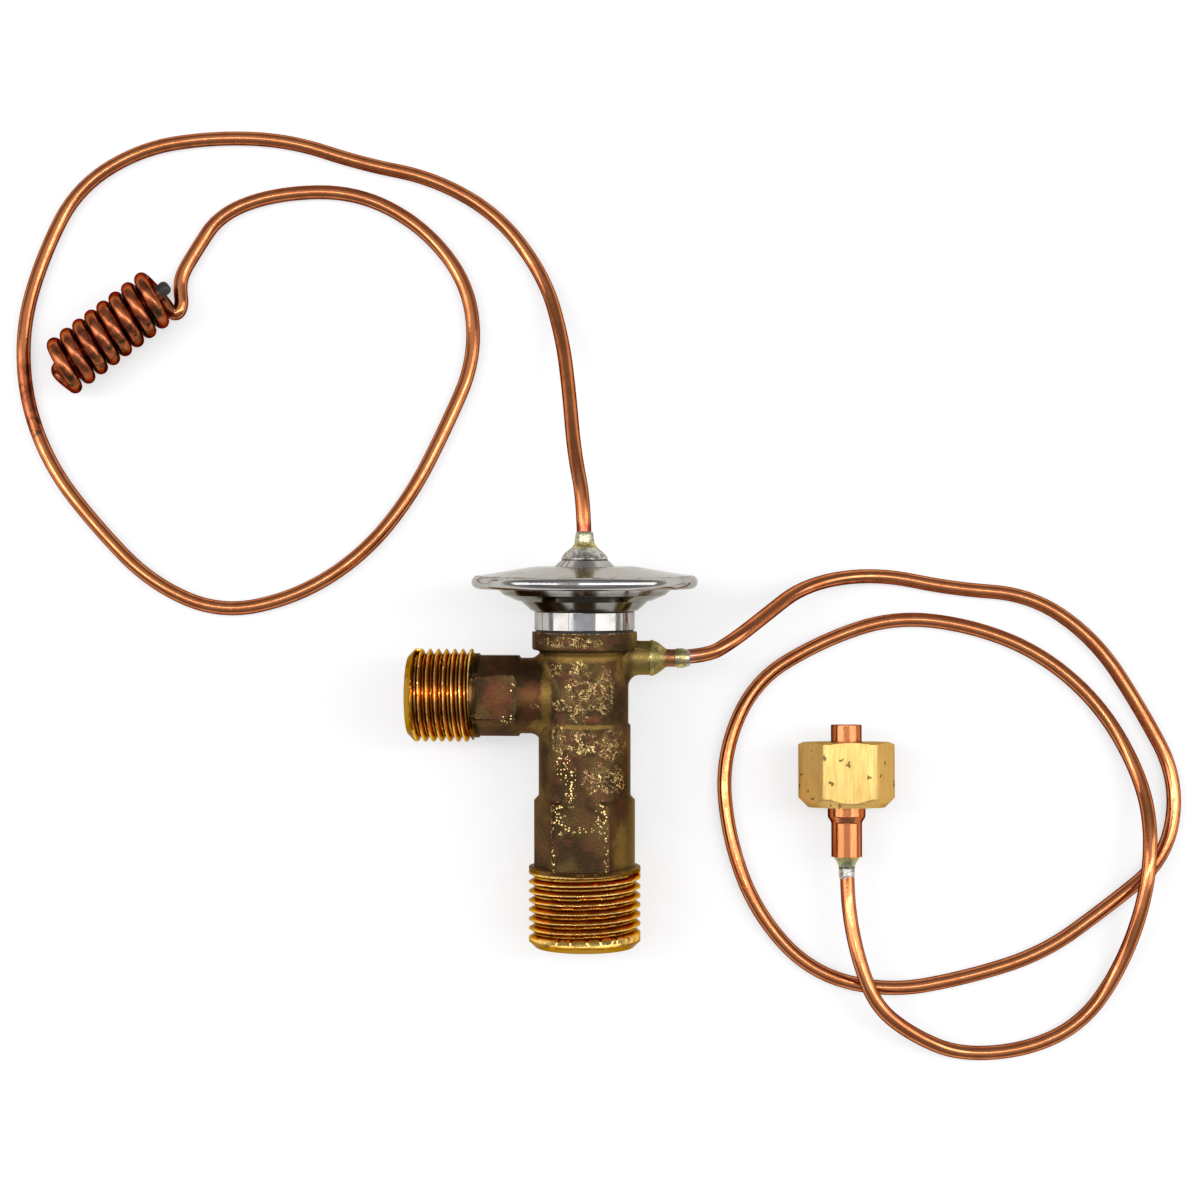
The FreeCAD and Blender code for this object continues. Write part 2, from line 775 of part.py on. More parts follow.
def buffer_plate():
    """Plate under the diaphragm; its boss takes the push rod."""
    plate = turned([
        (0, buffer_foot - buffer_boss_height),
        (buffer_boss_r, buffer_foot - buffer_boss_height),
        (buffer_boss_r, buffer_foot),
        (buffer_r - buffer_edge_bevel, buffer_foot),
        (buffer_r, buffer_foot + buffer_edge_bevel),
        (buffer_r, buffer_top - buffer_edge_bevel),
        (buffer_r - buffer_edge_bevel, buffer_top),
        (0, buffer_top),
    ])
    boss_foot = buffer_foot - buffer_boss_height
    return plate.cut(rod(rod_r, boss_foot - cut_beyond, buffer_foot + buffer_boss_socket))


def head_nipple():
    """Small welded cone that holds the capillary on the head."""
    return turned([
        (tube_hole_r, cone_top - upper_sheet),
        (nipple_spigot_r, cone_top - upper_sheet),
        (nipple_spigot_r, cone_top),
        (nipple_r, cone_top),
        (nipple_shoulder_r, nipple_top, nipple_edge_r),
        (tube_hole_r, nipple_top),
    ])


def head_braze():
    """Domed braze between the nipple and the capillary, drawn up the tube to a thin neck."""
    dome_r = nipple_shoulder_r - head_braze_inset
    neck_foot_r = head_braze_neck_r + head_braze_slope
    return turned([
        (tube_hole_r, nipple_top),
        (dome_r, nipple_top, head_braze_inset),
        (dome_r - head_braze_dome, nipple_top + head_braze_dome, head_braze_dome),
        (neck_foot_r, nipple_top + head_braze_neck_foot, head_braze_neck_bend_r),
        (head_braze_neck_r, braze_top - head_braze_tip, head_braze_tip_bend_r),
        (tube_r + braze_skin, braze_top),
        (tube_hole_r, braze_top),
    ])


def equalizer_stub():
    """Reducer in the port's boss, swaged down to a narrow neck for the tube."""
    lip_foot = port_boss_length
    cone_foot = lip_foot + stub_lip_length
    cone_top = cone_foot + stub_cone_length
    piece = turned([
        (tube_hole_r, lip_foot - stub_spigot_length),
        (port_socket_r, lip_foot - stub_spigot_length),
        (port_socket_r, lip_foot),
        (stub_lip_r, lip_foot, stub_lip_edge_r),
        (stub_lip_r, cone_foot, stub_lip_edge_r),
        (stub_lip_r - stub_shoulder_inset, cone_foot + stub_shoulder_length, stub_shoulder_bend_r),
        (stub_tip_r, cone_top, stub_tip_bend_r),
        (stub_tip_r, stub_end),
        (tube_hole_r, stub_end),
    ])
    return to_port(piece, port_z)


def stub_braze():
    top = stub_end + stub_braze_length
    piece = turned([
        (tube_hole_r, stub_end),
        (stub_tip_r, stub_end),
        (stub_braze_r, stub_end + stub_braze_slope, stub_braze_bend_r),
        (stub_tip_r, top - stub_braze_slope, stub_braze_bend_r),
        (tube_r + braze_skin, top),
        (tube_hole_r, top),
    ])
    return to_port(piece, port_z)


def equalizer_nut():
    """Hexagon nut with trimmed corners, a steep bevel behind and a low one in front."""
    half_flats = nut_flats / 2
    bar = hexagon_rod(nut_flats, 0, nut_length, 0)
    corners = hexagon_rod(2 * nut_corner_r, 0, nut_length, half_side_turn)
    corner_reach = 2 * half_flats / math.sqrt(3)
    back_bevel = corner_reach - nut_back_face_r
    profile = turned([
        (0, 0),
        (nut_back_face_r, 0),
        (corner_reach, back_bevel),
        (corner_reach, nut_length - nut_front_bevel),
        (nut_front_face_r, nut_length),
        (0, nut_length),
    ])
    bore = turned([
        (0, -cut_beyond),
        (ferrule_r + running_gap, -cut_beyond),
        (ferrule_r + running_gap, nut_back_wall),
        (nut_thread_r, nut_back_wall),
        (nut_thread_r, nut_length - (nut_mouth_r - nut_thread_r)),
        (nut_mouth_r, nut_length),
        (nut_mouth_r, nut_length + cut_beyond),
        (0, nut_length + cut_beyond),
    ])
    return bar.common(corners).common(profile).cut(bore)


def equalizer_ferrule():
    """Drawn copper tube end: tail for the capillary, collar, bead behind the nut, pilot."""
    bead_foot = nut_back_wall + running_gap
    bead_top = bead_foot + ferrule_bead_length
    groove_foot = bead_top + groove_above_bead
    pilot_top = nut_length + ferrule_pilot_proud
    return turned([
        (ferrule_bore_r, ferrule_tail_z),
        (ferrule_tail_r, ferrule_tail_z),
        (ferrule_tail_r, -ferrule_collar_length - ferrule_taper, ferrule_tail_bend_r),
        (ferrule_r, -ferrule_collar_length, ferrule_collar_bend_r),
        (ferrule_r, bead_foot),
        (ferrule_bead_r, bead_foot),
        (ferrule_bead_r, bead_top),
        (ferrule_tail_r, bead_top),
        (ferrule_tail_r, groove_foot),
        (ferrule_tail_r - groove_depth, groove_foot),
        (ferrule_tail_r - groove_depth, groove_foot + groove_width),
        (ferrule_tail_r, groove_foot + groove_width),
        (ferrule_tail_r, pilot_top, ferrule_mouth_edge_r),
        (ferrule_bore_r, pilot_top),
    ])


def ferrule_seal():
    bead_top = nut_back_wall + running_gap + ferrule_bead_length
    middle = bead_top + groove_above_bead + groove_width / 2
    section_r = groove_width / 2 - seal_squeeze
    centre_r = ferrule_tail_r - groove_depth + section_r
    return Part.makeTorus(centre_r, section_r, Vector(0, 0, middle))


def ferrule_braze():
    """Braze that fills the ferrule's tail round the tube and runs out as a small cone."""
    tip_z = ferrule_tail_z - ferrule_braze_cone
    neck_z = ferrule_tail_z - ferrule_braze_cone / 2
    return turned([
        (tube_hole_r, tip_z),
        (tube_r + braze_tip_wall, tip_z),
        (tube_r + 2 * braze_tip_wall, neck_z, braze_neck_bend_r),
        (ferrule_braze_foot_r, ferrule_tail_z),
        (ferrule_bore_r, ferrule_tail_z),
        (ferrule_bore_r, ferrule_tail_z + ferrule_braze_depth),
        (tube_hole_r, ferrule_tail_z + ferrule_braze_depth),
    ])


def bulb_coil():
    """Outer shape of the wound turns, drawn along Z, with the bore that the tail runs in."""
    wire_r = tube_r
    half = (coil_turns - 1) / 2 * coil_pitch
    centre_r = coil_outer_r - wire_r
    half_chord = math.sqrt(wire_r**2 - (coil_web_r - centre_r) ** 2)
    edge_out = wire_r * math.sin(coil_edge_turn)
    edge_along = wire_r * math.cos(coil_edge_turn)
    edges = []
    last = None
    for index in range(coil_turns):
        middle = -half + index * coil_pitch
        start = Vector(coil_web_r, 0, middle - half_chord)
        top = Vector(coil_outer_r, 0, middle)
        end = Vector(coil_web_r, 0, middle + half_chord)
        if last is None:
            start = Vector(centre_r, 0, middle - wire_r)
            top = Vector(centre_r + edge_out, 0, middle - edge_along)
            first = start
        else:
            edges.append(Part.LineSegment(last, start).toShape())
        if index == coil_turns - 1:
            end = Vector(centre_r, 0, middle + wire_r)
            top = Vector(centre_r + edge_out, 0, middle + edge_along)
        edges.append(Part.Arc(start, top, end).toShape())
        last = end
    far_in = Vector(coil_bore_r, 0, last.z - wire_r / 2)
    near_in = Vector(coil_bore_r, 0, first.z + wire_r / 2)
    edges.append(Part.LineSegment(last, far_in).toShape())
    edges.append(Part.LineSegment(far_in, near_in).toShape())
    edges.append(Part.LineSegment(near_in, first).toShape())
    face = Part.Face(Part.Wire(edges))
    return face.revolve(Vector(0, 0, 0), Vector(0, 0, 1), 360)


def bulb_tail():
    """Sealed end of the tube: it runs back through the coil and ends in a round nose."""
    half = (coil_turns - 1) / 2 * coil_pitch + tube_r
    return turned([
        (0, -half + coil_lead_in),
        (tube_r, -half + coil_lead_in, tail_foot_edge_r),
        (tube_r, half + tail_proud, tail_nose_r),
        (0, half + tail_proud),
    ])


def lay_valve(shape):
    """Lay a piece of the upright valve on the table, front up, head away."""
    upright_to_lying = Rotation(Vector(1, 0, 0), -90)
    roll = Rotation(Vector(0, 1, 0), -valve_roll)
    pitch = Rotation(Vector(1, 0, 0), valve_pitch)
    turn = pitch.multiply(roll).multiply(upright_to_lying)
    return shape.transformed(Placement(Vector(0, 0, foot_height), turn).toMatrix())


def lay_nut(shape):
    """Lay a piece of the nut's end: its axis along +Y, leaning on the nut's rear bevel."""
    half_flats = nut_flats / 2
    height = half_flats * math.cos(math.radians(nut_tilt))
    height -= (half_flats - nut_back_face_r) * math.sin(math.radians(nut_tilt))
    turn = Rotation(Vector(1, 0, 0), nut_tilt - 90)
    place = Vector(nut_place[0], nut_place[1], height)
    return shape.transformed(Placement(place, turn).toMatrix())


def lay_coil(shape, drop, aside):
    """Lay a piece of the sensing coil level, this much below and beside the coil's axis."""
    level = Rotation(Vector(0, 0, 1), coil_turned)
    turn = level.multiply(Rotation(Vector(0, 1, 0), 90))
    place = Vector(coil_middle[0], coil_middle[1], coil_outer_r - drop)
    place += level.multVec(Vector(0, aside, 0))
    return shape.transformed(Placement(place, turn).toMatrix())


def tube_along(points, name):
    """Round tube on straight runs joined by the largest tangent arcs; prints its radii."""
    share_of_run = 0.45
    corners = [(points[0], 0)]
    radii = []
    for index in range(1, len(points) - 1):
        back = points[index - 1] - points[index]
        ahead = points[index + 1] - points[index]
        half_turn = (math.pi - back.getAngle(ahead)) / 2
        radius = share_of_run * min(back.Length, ahead.Length) / math.tan(half_turn)
        corners.append((points[index], radius))
        radii.append(radius)
    corners.append((points[-1], 0))
    path = rounded_wire(corners, False)
    ring = Part.Wire(Part.makeCircle(tube_r, points[0], points[1] - points[0]))
    solid = path.makePipeShell([ring], True, False, 1)
    shortest = min(radii)
    print(name, "length", round(path.Length, 1), "smallest radius", round(shortest, 2))
    print(name, "radii", [round(r) for r in radii])
    ratio = solid.Volume / (math.pi * tube_r**2 * path.Length)
    print(name, "volume against section times length", round(ratio, 4))
    return solid


def valve_point(shift, x, y, z):
    """Place of a point of the upright valve once the valve lies down."""
    mark = lay_valve(Part.Vertex(Vector(x, y, z)))
    return mark.Point - shift


def nut_point(z):
    return lay_nut(Part.Vertex(Vector(0, 0, z))).Point


valve_pieces = {
    "valve_body": valve_body,
    "orifice_seat": orifice_seat,
    "valve_ball": valve_ball,
    "ball_carrier": ball_carrier,
    "push_rod": push_rod,
    "superheat_spring": superheat_spring,
    "spring_seat": spring_seat,
    "adjusting_screw": adjusting_screw,
    "inlet_strainer": inlet_strainer,
    "strainer_ring": strainer_ring,
    "rod_seal": rod_seal,
    "rod_seal_ring": rod_seal_ring,
    "head_gasket": head_gasket,
    "head_collar": head_collar,
    "lower_housing": lower_housing,
    "upper_housing": upper_housing,
    "diaphragm": diaphragm,
    "buffer_plate": buffer_plate,
    "head_nipple": head_nipple,
    "head_braze": head_braze,
    "equalizer_stub": equalizer_stub,
    "stub_braze": stub_braze,
}
nut_pieces = {
    "equalizer_nut": equalizer_nut,
    "equalizer_ferrule": equalizer_ferrule,
    "ferrule_seal": ferrule_seal,
    "ferrule_braze": ferrule_braze,
}


def build():
    """All pieces in place: the origin is under the middle of the valve without its tubes."""
    laid = {}
    for name, make in valve_pieces.items():
        laid[name] = lay_valve(make())
    box = Part.makeCompound(list(laid.values())).optimalBoundingBox()
    shift = Vector(box.Center.x, box.Center.y, 0)
    pieces = {}
    for name, shape in laid.items():
        pieces[name] = shape.translated(-shift)
    for name, make in nut_pieces.items():
        pieces[name] = lay_nut(make())
    pieces["bulb_coil"] = lay_coil(bulb_coil(), 0, 0)
    tail_reach = coil_bore_r - tube_r - tube_hole_gap
    tail_drop = math.sqrt(tail_reach**2 - tail_aside**2)
    pieces["bulb_tail"] = lay_coil(bulb_tail(), tail_drop, tail_aside)
    pieces["capillary_tube"] = capillary_tube(shift)
    pieces["equalizer_tube"] = equalizer_tube(shift)
    print("shift", shift, "pitch", valve_pitch, "foot", foot_height)
    return pieces


def capillary_tube(shift):
    points = [
        valve_point(shift, 0, 0, cone_top),
        valve_point(shift, 0, 0, braze_top + head_straight_exit),
    ]
    points += [Vector(*place) for place in capillary_route]
    return tube_along(points, "capillary_tube")


def equalizer_tube(shift):
    inner_end = port_boss_length + stub_lip_length
    exit_end = stub_end + stub_braze_length + stub_straight_exit
    points = [
        valve_point(shift, inner_end, 0, port_z),
        valve_point(shift, exit_end, 0, port_z),
    ]
    points += [Vector(*place) for place in equalizer_route]
    points.append(nut_point(ferrule_tail_z - ferrule_braze_cone - straight_exit))
    points.append(nut_point(ferrule_tail_z + ferrule_braze_depth))
    return tube_along(points, "equalizer_tube")


os.makedirs("parts", exist_ok=True)
for name, shape in build().items():
    if not shape.isValid() or len(shape.Solids) != 1:
        print("check", name, shape.isValid(), len(shape.Solids))
    shape.exportStep("parts/" + name + ".step")
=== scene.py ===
import math
import bpy
from mathutils import Vector, Matrix


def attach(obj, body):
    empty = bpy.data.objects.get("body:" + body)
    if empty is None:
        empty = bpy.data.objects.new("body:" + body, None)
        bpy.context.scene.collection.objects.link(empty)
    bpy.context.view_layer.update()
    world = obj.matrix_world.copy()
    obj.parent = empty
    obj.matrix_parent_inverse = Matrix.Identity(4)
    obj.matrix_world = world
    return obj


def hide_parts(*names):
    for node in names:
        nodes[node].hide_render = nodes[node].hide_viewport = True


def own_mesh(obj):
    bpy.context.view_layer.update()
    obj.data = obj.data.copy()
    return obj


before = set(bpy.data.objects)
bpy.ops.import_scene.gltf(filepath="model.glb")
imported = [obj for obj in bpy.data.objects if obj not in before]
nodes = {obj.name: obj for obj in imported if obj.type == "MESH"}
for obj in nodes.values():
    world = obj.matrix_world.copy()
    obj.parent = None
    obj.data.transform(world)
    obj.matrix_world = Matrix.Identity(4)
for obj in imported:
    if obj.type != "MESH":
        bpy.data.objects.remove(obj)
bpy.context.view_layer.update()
mm = 0.001

# the valve's own axes as it lies on the table: out along the port, back, and up to the head
valveFoot = Vector((5.6301, -34.3273, 9.2509)) * mm
portAxis = Vector((0.99756, -0.01092, 0.06890))
backAxis = Vector((0.06976, 0.15623, -0.98525))
headAxis = Vector((0.0, 0.98766, 0.15661))
# the nut's foot and its axes
nutFoot = Vector((50.8, -10.65, 7.397)) * mm
nutAcross = Vector((1.0, 0.0, 0.0))
nutAxis = Vector((0.0, 0.99619, 0.08716))
# heights of the two side ends on the valve's axis, mm
portHeight = 49.2
inletHeight = 42.7
# points this close are merged in a copy of a CAD node, in metres
weldDistance = 2e-6
# edges above these angles stay sharp, in degrees
sharpAngle = 28
springSharpAngle = 50


def valvePlace(x, y, z):
    # a point of the upright valve, in millimetres, where it lies on the table
    return valveFoot + (portAxis * x + backAxis * y + headAxis * z) * mm


def nutPlace(z):
    return nutFoot + nutAxis * z * mm


print("frame loaded,", len(nodes), "nodes")


def clearAll():
    if bpy.context.mode != "OBJECT":
        bpy.ops.object.mode_set(mode="OBJECT")
    bpy.ops.object.select_all(action="DESELECT")


def pick(piece):
    clearAll()
    piece.select_set(True)
    bpy.context.view_layer.objects.active = piece


def wear(piece, paint):
    piece.data.materials.clear()
    piece.data.materials.append(paint)


def finishModifier(piece, kind, **settings):
    pick(piece)
    modifier = piece.modifiers.new(kind.lower(), kind)
    for key, value in settings.items():
        setattr(modifier, key, value)
    bpy.ops.object.modifier_apply(modifier=modifier.name)


def smoothed(piece, degrees):
    pick(piece)
    bpy.ops.object.shade_smooth_by_angle(angle=math.radians(degrees))
    finishModifier(piece, "WEIGHTED_NORMAL", mode="FACE_AREA_WITH_ANGLE", keep_sharp=True)


def added(name, data):
    piece = bpy.data.objects.new(name, data)
    bpy.context.scene.collection.objects.link(piece)
    return piece


def laidDown(piece, shape):
    # from upright millimetres to the shape's place and axes on the table
    side = shape["axis"].cross(shape["start"])
    turn = Matrix((shape["start"], side, shape["axis"])).transposed().to_4x4()
    piece.data.transform(Matrix.Translation(shape["foot"]) @ turn @ Matrix.Scale(mm, 4))
    piece.data.update()


def mergedCopy(nodeName, name):
    # a solid copy of a CAD node, to be worked on, that stands for the node
    piece = added(name, nodes[nodeName].data.copy())
    pick(piece)
    bpy.ops.object.mode_set(mode="EDIT")
    bpy.ops.mesh.select_all(action="SELECT")
    bpy.ops.mesh.remove_doubles(threshold=weldDistance)
    bpy.ops.object.mode_set(mode="OBJECT")
    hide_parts(nodeName)
    return piece


# tubes
capillary = {
    "diameter": 2.5 * mm,
    "length": 0.613,
    "exit": valvePlace(0, 0, 70.65),
    "start": [valvePlace(0, 0, 64.7), valvePlace(0, 0, 75.15)],
    "route": [
        (0.0038, 0.0495, 0.0184), (0.0029, 0.0610, 0.0116), (0.0016, 0.0725, 0.0046),
        (-0.0016, 0.0845, 0.00125), (-0.0099, 0.0960, 0.00125), (-0.0219, 0.1030, 0.00125),
        (-0.0349, 0.1056, 0.00125), (-0.0479, 0.1100, 0.00125), (-0.0614, 0.1106, 0.00125),
        (-0.0749, 0.1085, 0.00125), (-0.0863, 0.1010, 0.00125), (-0.0920, 0.0886, 0.00125),
        (-0.0954, 0.0756, 0.00125), (-0.0944, 0.0620, 0.00125), (-0.0894, 0.0496, 0.00125),
        (-0.0809, 0.0390, 0.00125), (-0.0713, 0.0292, 0.00125), (-0.0589, 0.0237, 0.00125),
        (-0.0454, 0.0266, 0.00125), (-0.0339, 0.0340, 0.00125), (-0.0254, 0.0446, 0.00125),
        (-0.0193, 0.0570, 0.00125), (-0.0140, 0.0696, 0.00125), (-0.0152, 0.0832, 0.00125),
        (-0.0238, 0.0942, 0.00125), (-0.0359, 0.1005, 0.00125), (-0.0499, 0.1002, 0.00125),
        (-0.0603, 0.0964, 0.00125), (-0.0649, 0.0888, 0.00125), (-0.0670, 0.0850, 0.00125),
        (-0.0672, 0.0822, 0.00125), (-0.0668, 0.0797, 0.00125), (-0.0675, 0.0778, 0.00125),
        (-0.0689, 0.0782, 0.00125), (-0.0698, 0.0796, 0.00125),
    ],
}
equalizer = {
    "diameter": 2.5 * mm,
    "length": 0.451,
    "exit": valvePlace(17.6, 0, portHeight),
    "start": [valvePlace(11.6, 0, portHeight), valvePlace(20.4, 0, portHeight)],
    "end": [nutPlace(-13.25), nutPlace(-5.55)],
    "route": [
        (0.0310, 0.0172, 0.0172), (0.0360, 0.0214, 0.0130), (0.0442, 0.0284, 0.0060),
        (0.0570, 0.0309, 0.0015), (0.0706, 0.0281, 0.00125), (0.0846, 0.0271, 0.00125),
        (0.0957, 0.0191, 0.00125), (0.1032, 0.0071, 0.00125), (0.1096, -0.0056, 0.00125),
        (0.1072, -0.0194, 0.00125), (0.0962, -0.0280, 0.00125), (0.0852, -0.0358, 0.00125),
        (0.0716, -0.0400, 0.00125), (0.0580, -0.0424, 0.00125), (0.0446, -0.0390, 0.00125),
        (0.0352, -0.0284, 0.00125), (0.0306, -0.0154, 0.00125), (0.0296, -0.0018, 0.00125),
        (0.0352, 0.0116, 0.00125), (0.0472, 0.0188, 0.00125), (0.0602, 0.0232, 0.00125),
        (0.0738, 0.0216, 0.00125), (0.0862, 0.0166, 0.00125), (0.0966, 0.0072, 0.00125),
        (0.1029, -0.0054, 0.0026), (0.1036, -0.0158, 0.0067), (0.1020, -0.0270, 0.0067),
        (0.0986, -0.0380, 0.0022), (0.0922, -0.0474, 0.00125), (0.0826, -0.0522, 0.00125),
        (0.0706, -0.0532, 0.0014), (0.0622, -0.0498, 0.0040), (0.0556, -0.0449, 0.0068),
        (0.0528, -0.0376, 0.0068), (0.0513, -0.0304, 0.0065),
    ],
}
coil = {
    "turns": 8,
    "pitch": 2.64 * mm,
    "spread": 0.0085 * mm,
    "turnRadius": 4.05 * mm,
    "middle": Vector((-79.0, 73.5, 5.3)) * mm,
    "turned": 37.9,
    "lean": 0.025,
    "pointsPerTurn": 16,
    # how the last turn curls in to the sealed end: along, across and up from the middle, mm
    "curl": [(11.7, 1.1, -3.9), (10.5, 1.0, -1.6), (9.4, 0.8, -1.3)],
}
coilTurned = math.radians(coil["turned"])
coilAlong = Vector((-math.cos(coilTurned), -math.sin(coilTurned), 0))
coilAcross = Vector((-math.sin(coilTurned), math.cos(coilTurned), 0))


def coilPoints():
    # from the lead's end, under the coil, to the far end and in
    count = coil["pointsPerTurn"]
    # control points stand a little outside the round line that they make
    reach = coil["turnRadius"] / (0.75 + 0.25 * math.cos(2 * math.pi / count))
    points = []
    for step in range(1, coil["turns"] * count - 2):
        angle = 2 * math.pi * step / count
        aside = reach * math.sin(angle)
        turn = step / count - coil["turns"] / 2
        along = coil["pitch"] * turn + coil["spread"] * turn ** 3 - coil["lean"] * aside
        place = coil["middle"] + coilAlong * along + coilAcross * aside
        points.append(place - Vector((0, 0, reach * math.cos(angle))))
    for along, aside, up in coil["curl"]:
        inward = coilAlong * along + coilAcross * aside + Vector((0, 0, up))
        points.append(coil["middle"] + inward * mm)
    return points


tubeForm = {
    "order": 3,
    "resolution": 8,
    "rimResolution": 6,
}


def makeTube(name, points, diameter):
    line = bpy.data.curves.new(name, "CURVE")
    line.dimensions = "3D"
    spline = line.splines.new("NURBS")
    spline.points.add(len(points) - 1)
    for spot, place in zip(spline.points, points):
        spot.co = (*place, 1.0)
        spot.radius = diameter / 2
    spline.order_u = tubeForm["order"]
    spline.use_endpoint_u = True
    line.resolution_u = tubeForm["resolution"]
    line.bevel_depth = 1.0  # times each point's own radius
    line.bevel_resolution = tubeForm["rimResolution"]
    line.use_fill_caps = True
    return added(name, line)


capillaryTube = makeTube("capillary", capillary["start"] + capillary["route"] + coilPoints(),
                         capillary["diameter"])
equalizerTube = makeTube("equalizerLine",
                         equalizer["start"] + equalizer["route"] + equalizer["end"],
                         equalizer["diameter"])
for tube in (capillaryTube, equalizerTube):
    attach(tube, "valve")
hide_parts("capillary_tube", "bulb_coil")
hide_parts("equalizer_tube")
print("tubes made")

# threads, sizes in millimetres; the grooves are cut out of solid copies of the CAD nodes
outletThread = {
    "foot": valvePlace(0, 0, 0), "axis": headAxis, "start": portAxis,
    "radius": 9.525, "pitch": 1.5875, "from": 1.5, "to": 12.9, "fade": 0.5, "inside": False,
}
inletThread = {
    "foot": valvePlace(-30.06, 0, inletHeight), "axis": portAxis, "start": headAxis,
    "radius": 7.9375, "pitch": 1.4111, "from": 1.5, "to": 11.4, "fade": 0.5, "inside": False,
}
nutThread = {
    "foot": nutPlace(0), "axis": nutAxis, "start": nutAcross,
    "radius": 4.95, "pitch": 1.27, "from": 3.6, "to": 12.5, "fade": 0.4, "inside": True,
}
threadForm = {
    # depth, root width and reach past the surface are shares of the pitch
    "depth": 0.6134,
    "rootWidth": 0.167,
    "past": 0.09,
    "flank": 30,
    "steps": 72,
}


def threadCutter(thread):
    # a groove profile wound up by a screw modifier, whose ends run out of the metal
    pitch = thread["pitch"]
    depth = threadForm["depth"] * pitch
    past = threadForm["past"] * pitch
    rootHalf = threadForm["rootWidth"] * pitch / 2
    mouthHalf = rootHalf + (depth + past) * math.tan(math.radians(threadForm["flank"]))
    outward = -1 if thread["inside"] else 1
    root = thread["radius"] - outward * depth
    mouth = thread["radius"] + outward * past
    corners = [(root, 0, -rootHalf), (root, 0, rootHalf),
               (mouth, 0, mouthHalf), (mouth, 0, -mouthHalf)]
    profile = bpy.data.meshes.new("threadCutter")
    profile.from_pydata(corners, [(0, 1), (1, 2), (2, 3), (3, 0)], [])
    cutter = added("threadCutter", profile)
    length = thread["to"] - thread["from"]
    turns = max(1, round(length / pitch))
    finishModifier(cutter, "SCREW", axis="Z", angle=2 * math.pi, screw_offset=pitch,
                   iterations=turns, steps=threadForm["steps"], render_steps=threadForm["steps"],
                   use_merge_vertices=False)
    fade = thread["fade"] * pitch
    for vertex in cutter.data.vertices:
        height = vertex.co.z
        low = 1 - min(1, max(0, (height + mouthHalf) / fade))
        high = 1 - min(1, max(0, (turns * pitch - height + mouthHalf) / fade))
        if thread["inside"]:
            high = 0  # it ends in the open mouth
        flat = Vector((vertex.co.x, vertex.co.y, 0)).normalized()
        vertex.co += flat * outward * (depth + past / 2) * max(low, high)
        vertex.co.z += thread["from"]
    pick(cutter)
    bpy.ops.object.mode_set(mode="EDIT")
    bpy.ops.mesh.select_all(action="SELECT")
    bpy.ops.mesh.fill_holes(sides=4)
    bpy.ops.mesh.select_all(action="SELECT")
    bpy.ops.mesh.normals_make_consistent(inside=False)
    bpy.ops.object.mode_set(mode="OBJECT")
    laidDown(cutter, thread)
    return cutter


def cutThread(piece, thread):
    cutter = threadCutter(thread)
    before = len(piece.data.polygons)
    finishModifier(piece, "BOOLEAN", operation="DIFFERENCE", solver="MANIFOLD", object=cutter)
    bpy.data.objects.remove(cutter)
    print(piece.name, "thread cut, faces", before, "to", len(piece.data.polygons))


forging = mergedCopy("valve_body", "forging")
cutThread(forging, outletThread)
cutThread(forging, inletThread)
smoothed(forging, sharpAngle)
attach(forging, "valve")
unionNut = mergedCopy("equalizer_nut", "unionNut")
cutThread(unionNut, nutThread)
smoothed(unionNut, sharpAngle)
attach(unionNut, "nut")
print("threads cut")

# the spring: a solid copy, smoothed, fixed to the valve, with a mesh of its own
pinSpring = mergedCopy("superheat_spring", "pinSpring")
smoothed(pinSpring, springSharpAngle)
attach(pinSpring, "valve")
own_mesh(pinSpring)

# brazes: turned from a profile of radius and height, then made uneven
headBraze = {
    "foot": valvePlace(0, 0, 0), "axis": headAxis, "start": portAxis, "rough": 0.16, "grain": 1.5,
    "profile": [
        (1.2, 65.6), (4.05, 65.7), (4.0, 66.1), (3.6, 66.7), (3.0, 67.3), (2.4, 67.75),
        (1.95, 68.1), (1.68, 68.6), (1.6, 69.3), (1.56, 70.1), (1.4, 70.55), (1.2, 70.7),
    ],
}
stubBraze = {
    "foot": valvePlace(0, 0, portHeight), "axis": portAxis, "start": headAxis,
    "rough": 0.07, "grain": 0.9,
    "profile": [
        (1.2, 15.3), (1.55, 15.35), (1.66, 15.7), (1.68, 16.3), (1.6, 17.0), (1.45, 17.5),
        (1.32, 17.9), (1.2, 18.0),
    ],
}
ferruleBraze = {
    "foot": nutPlace(0), "axis": nutAxis, "start": nutAcross, "rough": 0.07, "grain": 1.0,
    "profile": [
        (1.2, -12.4), (1.33, -12.3), (1.38, -11.6), (1.38, -10.8), (1.4, -10.2), (1.5, -9.8),
        (1.72, -9.4), (2.0, -9.0), (2.3, -8.6), (2.3, -8.45), (1.2, -8.4),
    ],
}
brazeForm = {
    "spinSteps": 48,
    "weld": 1e-4,
    "levels": 2,
    "cloudDepth": 3,
}


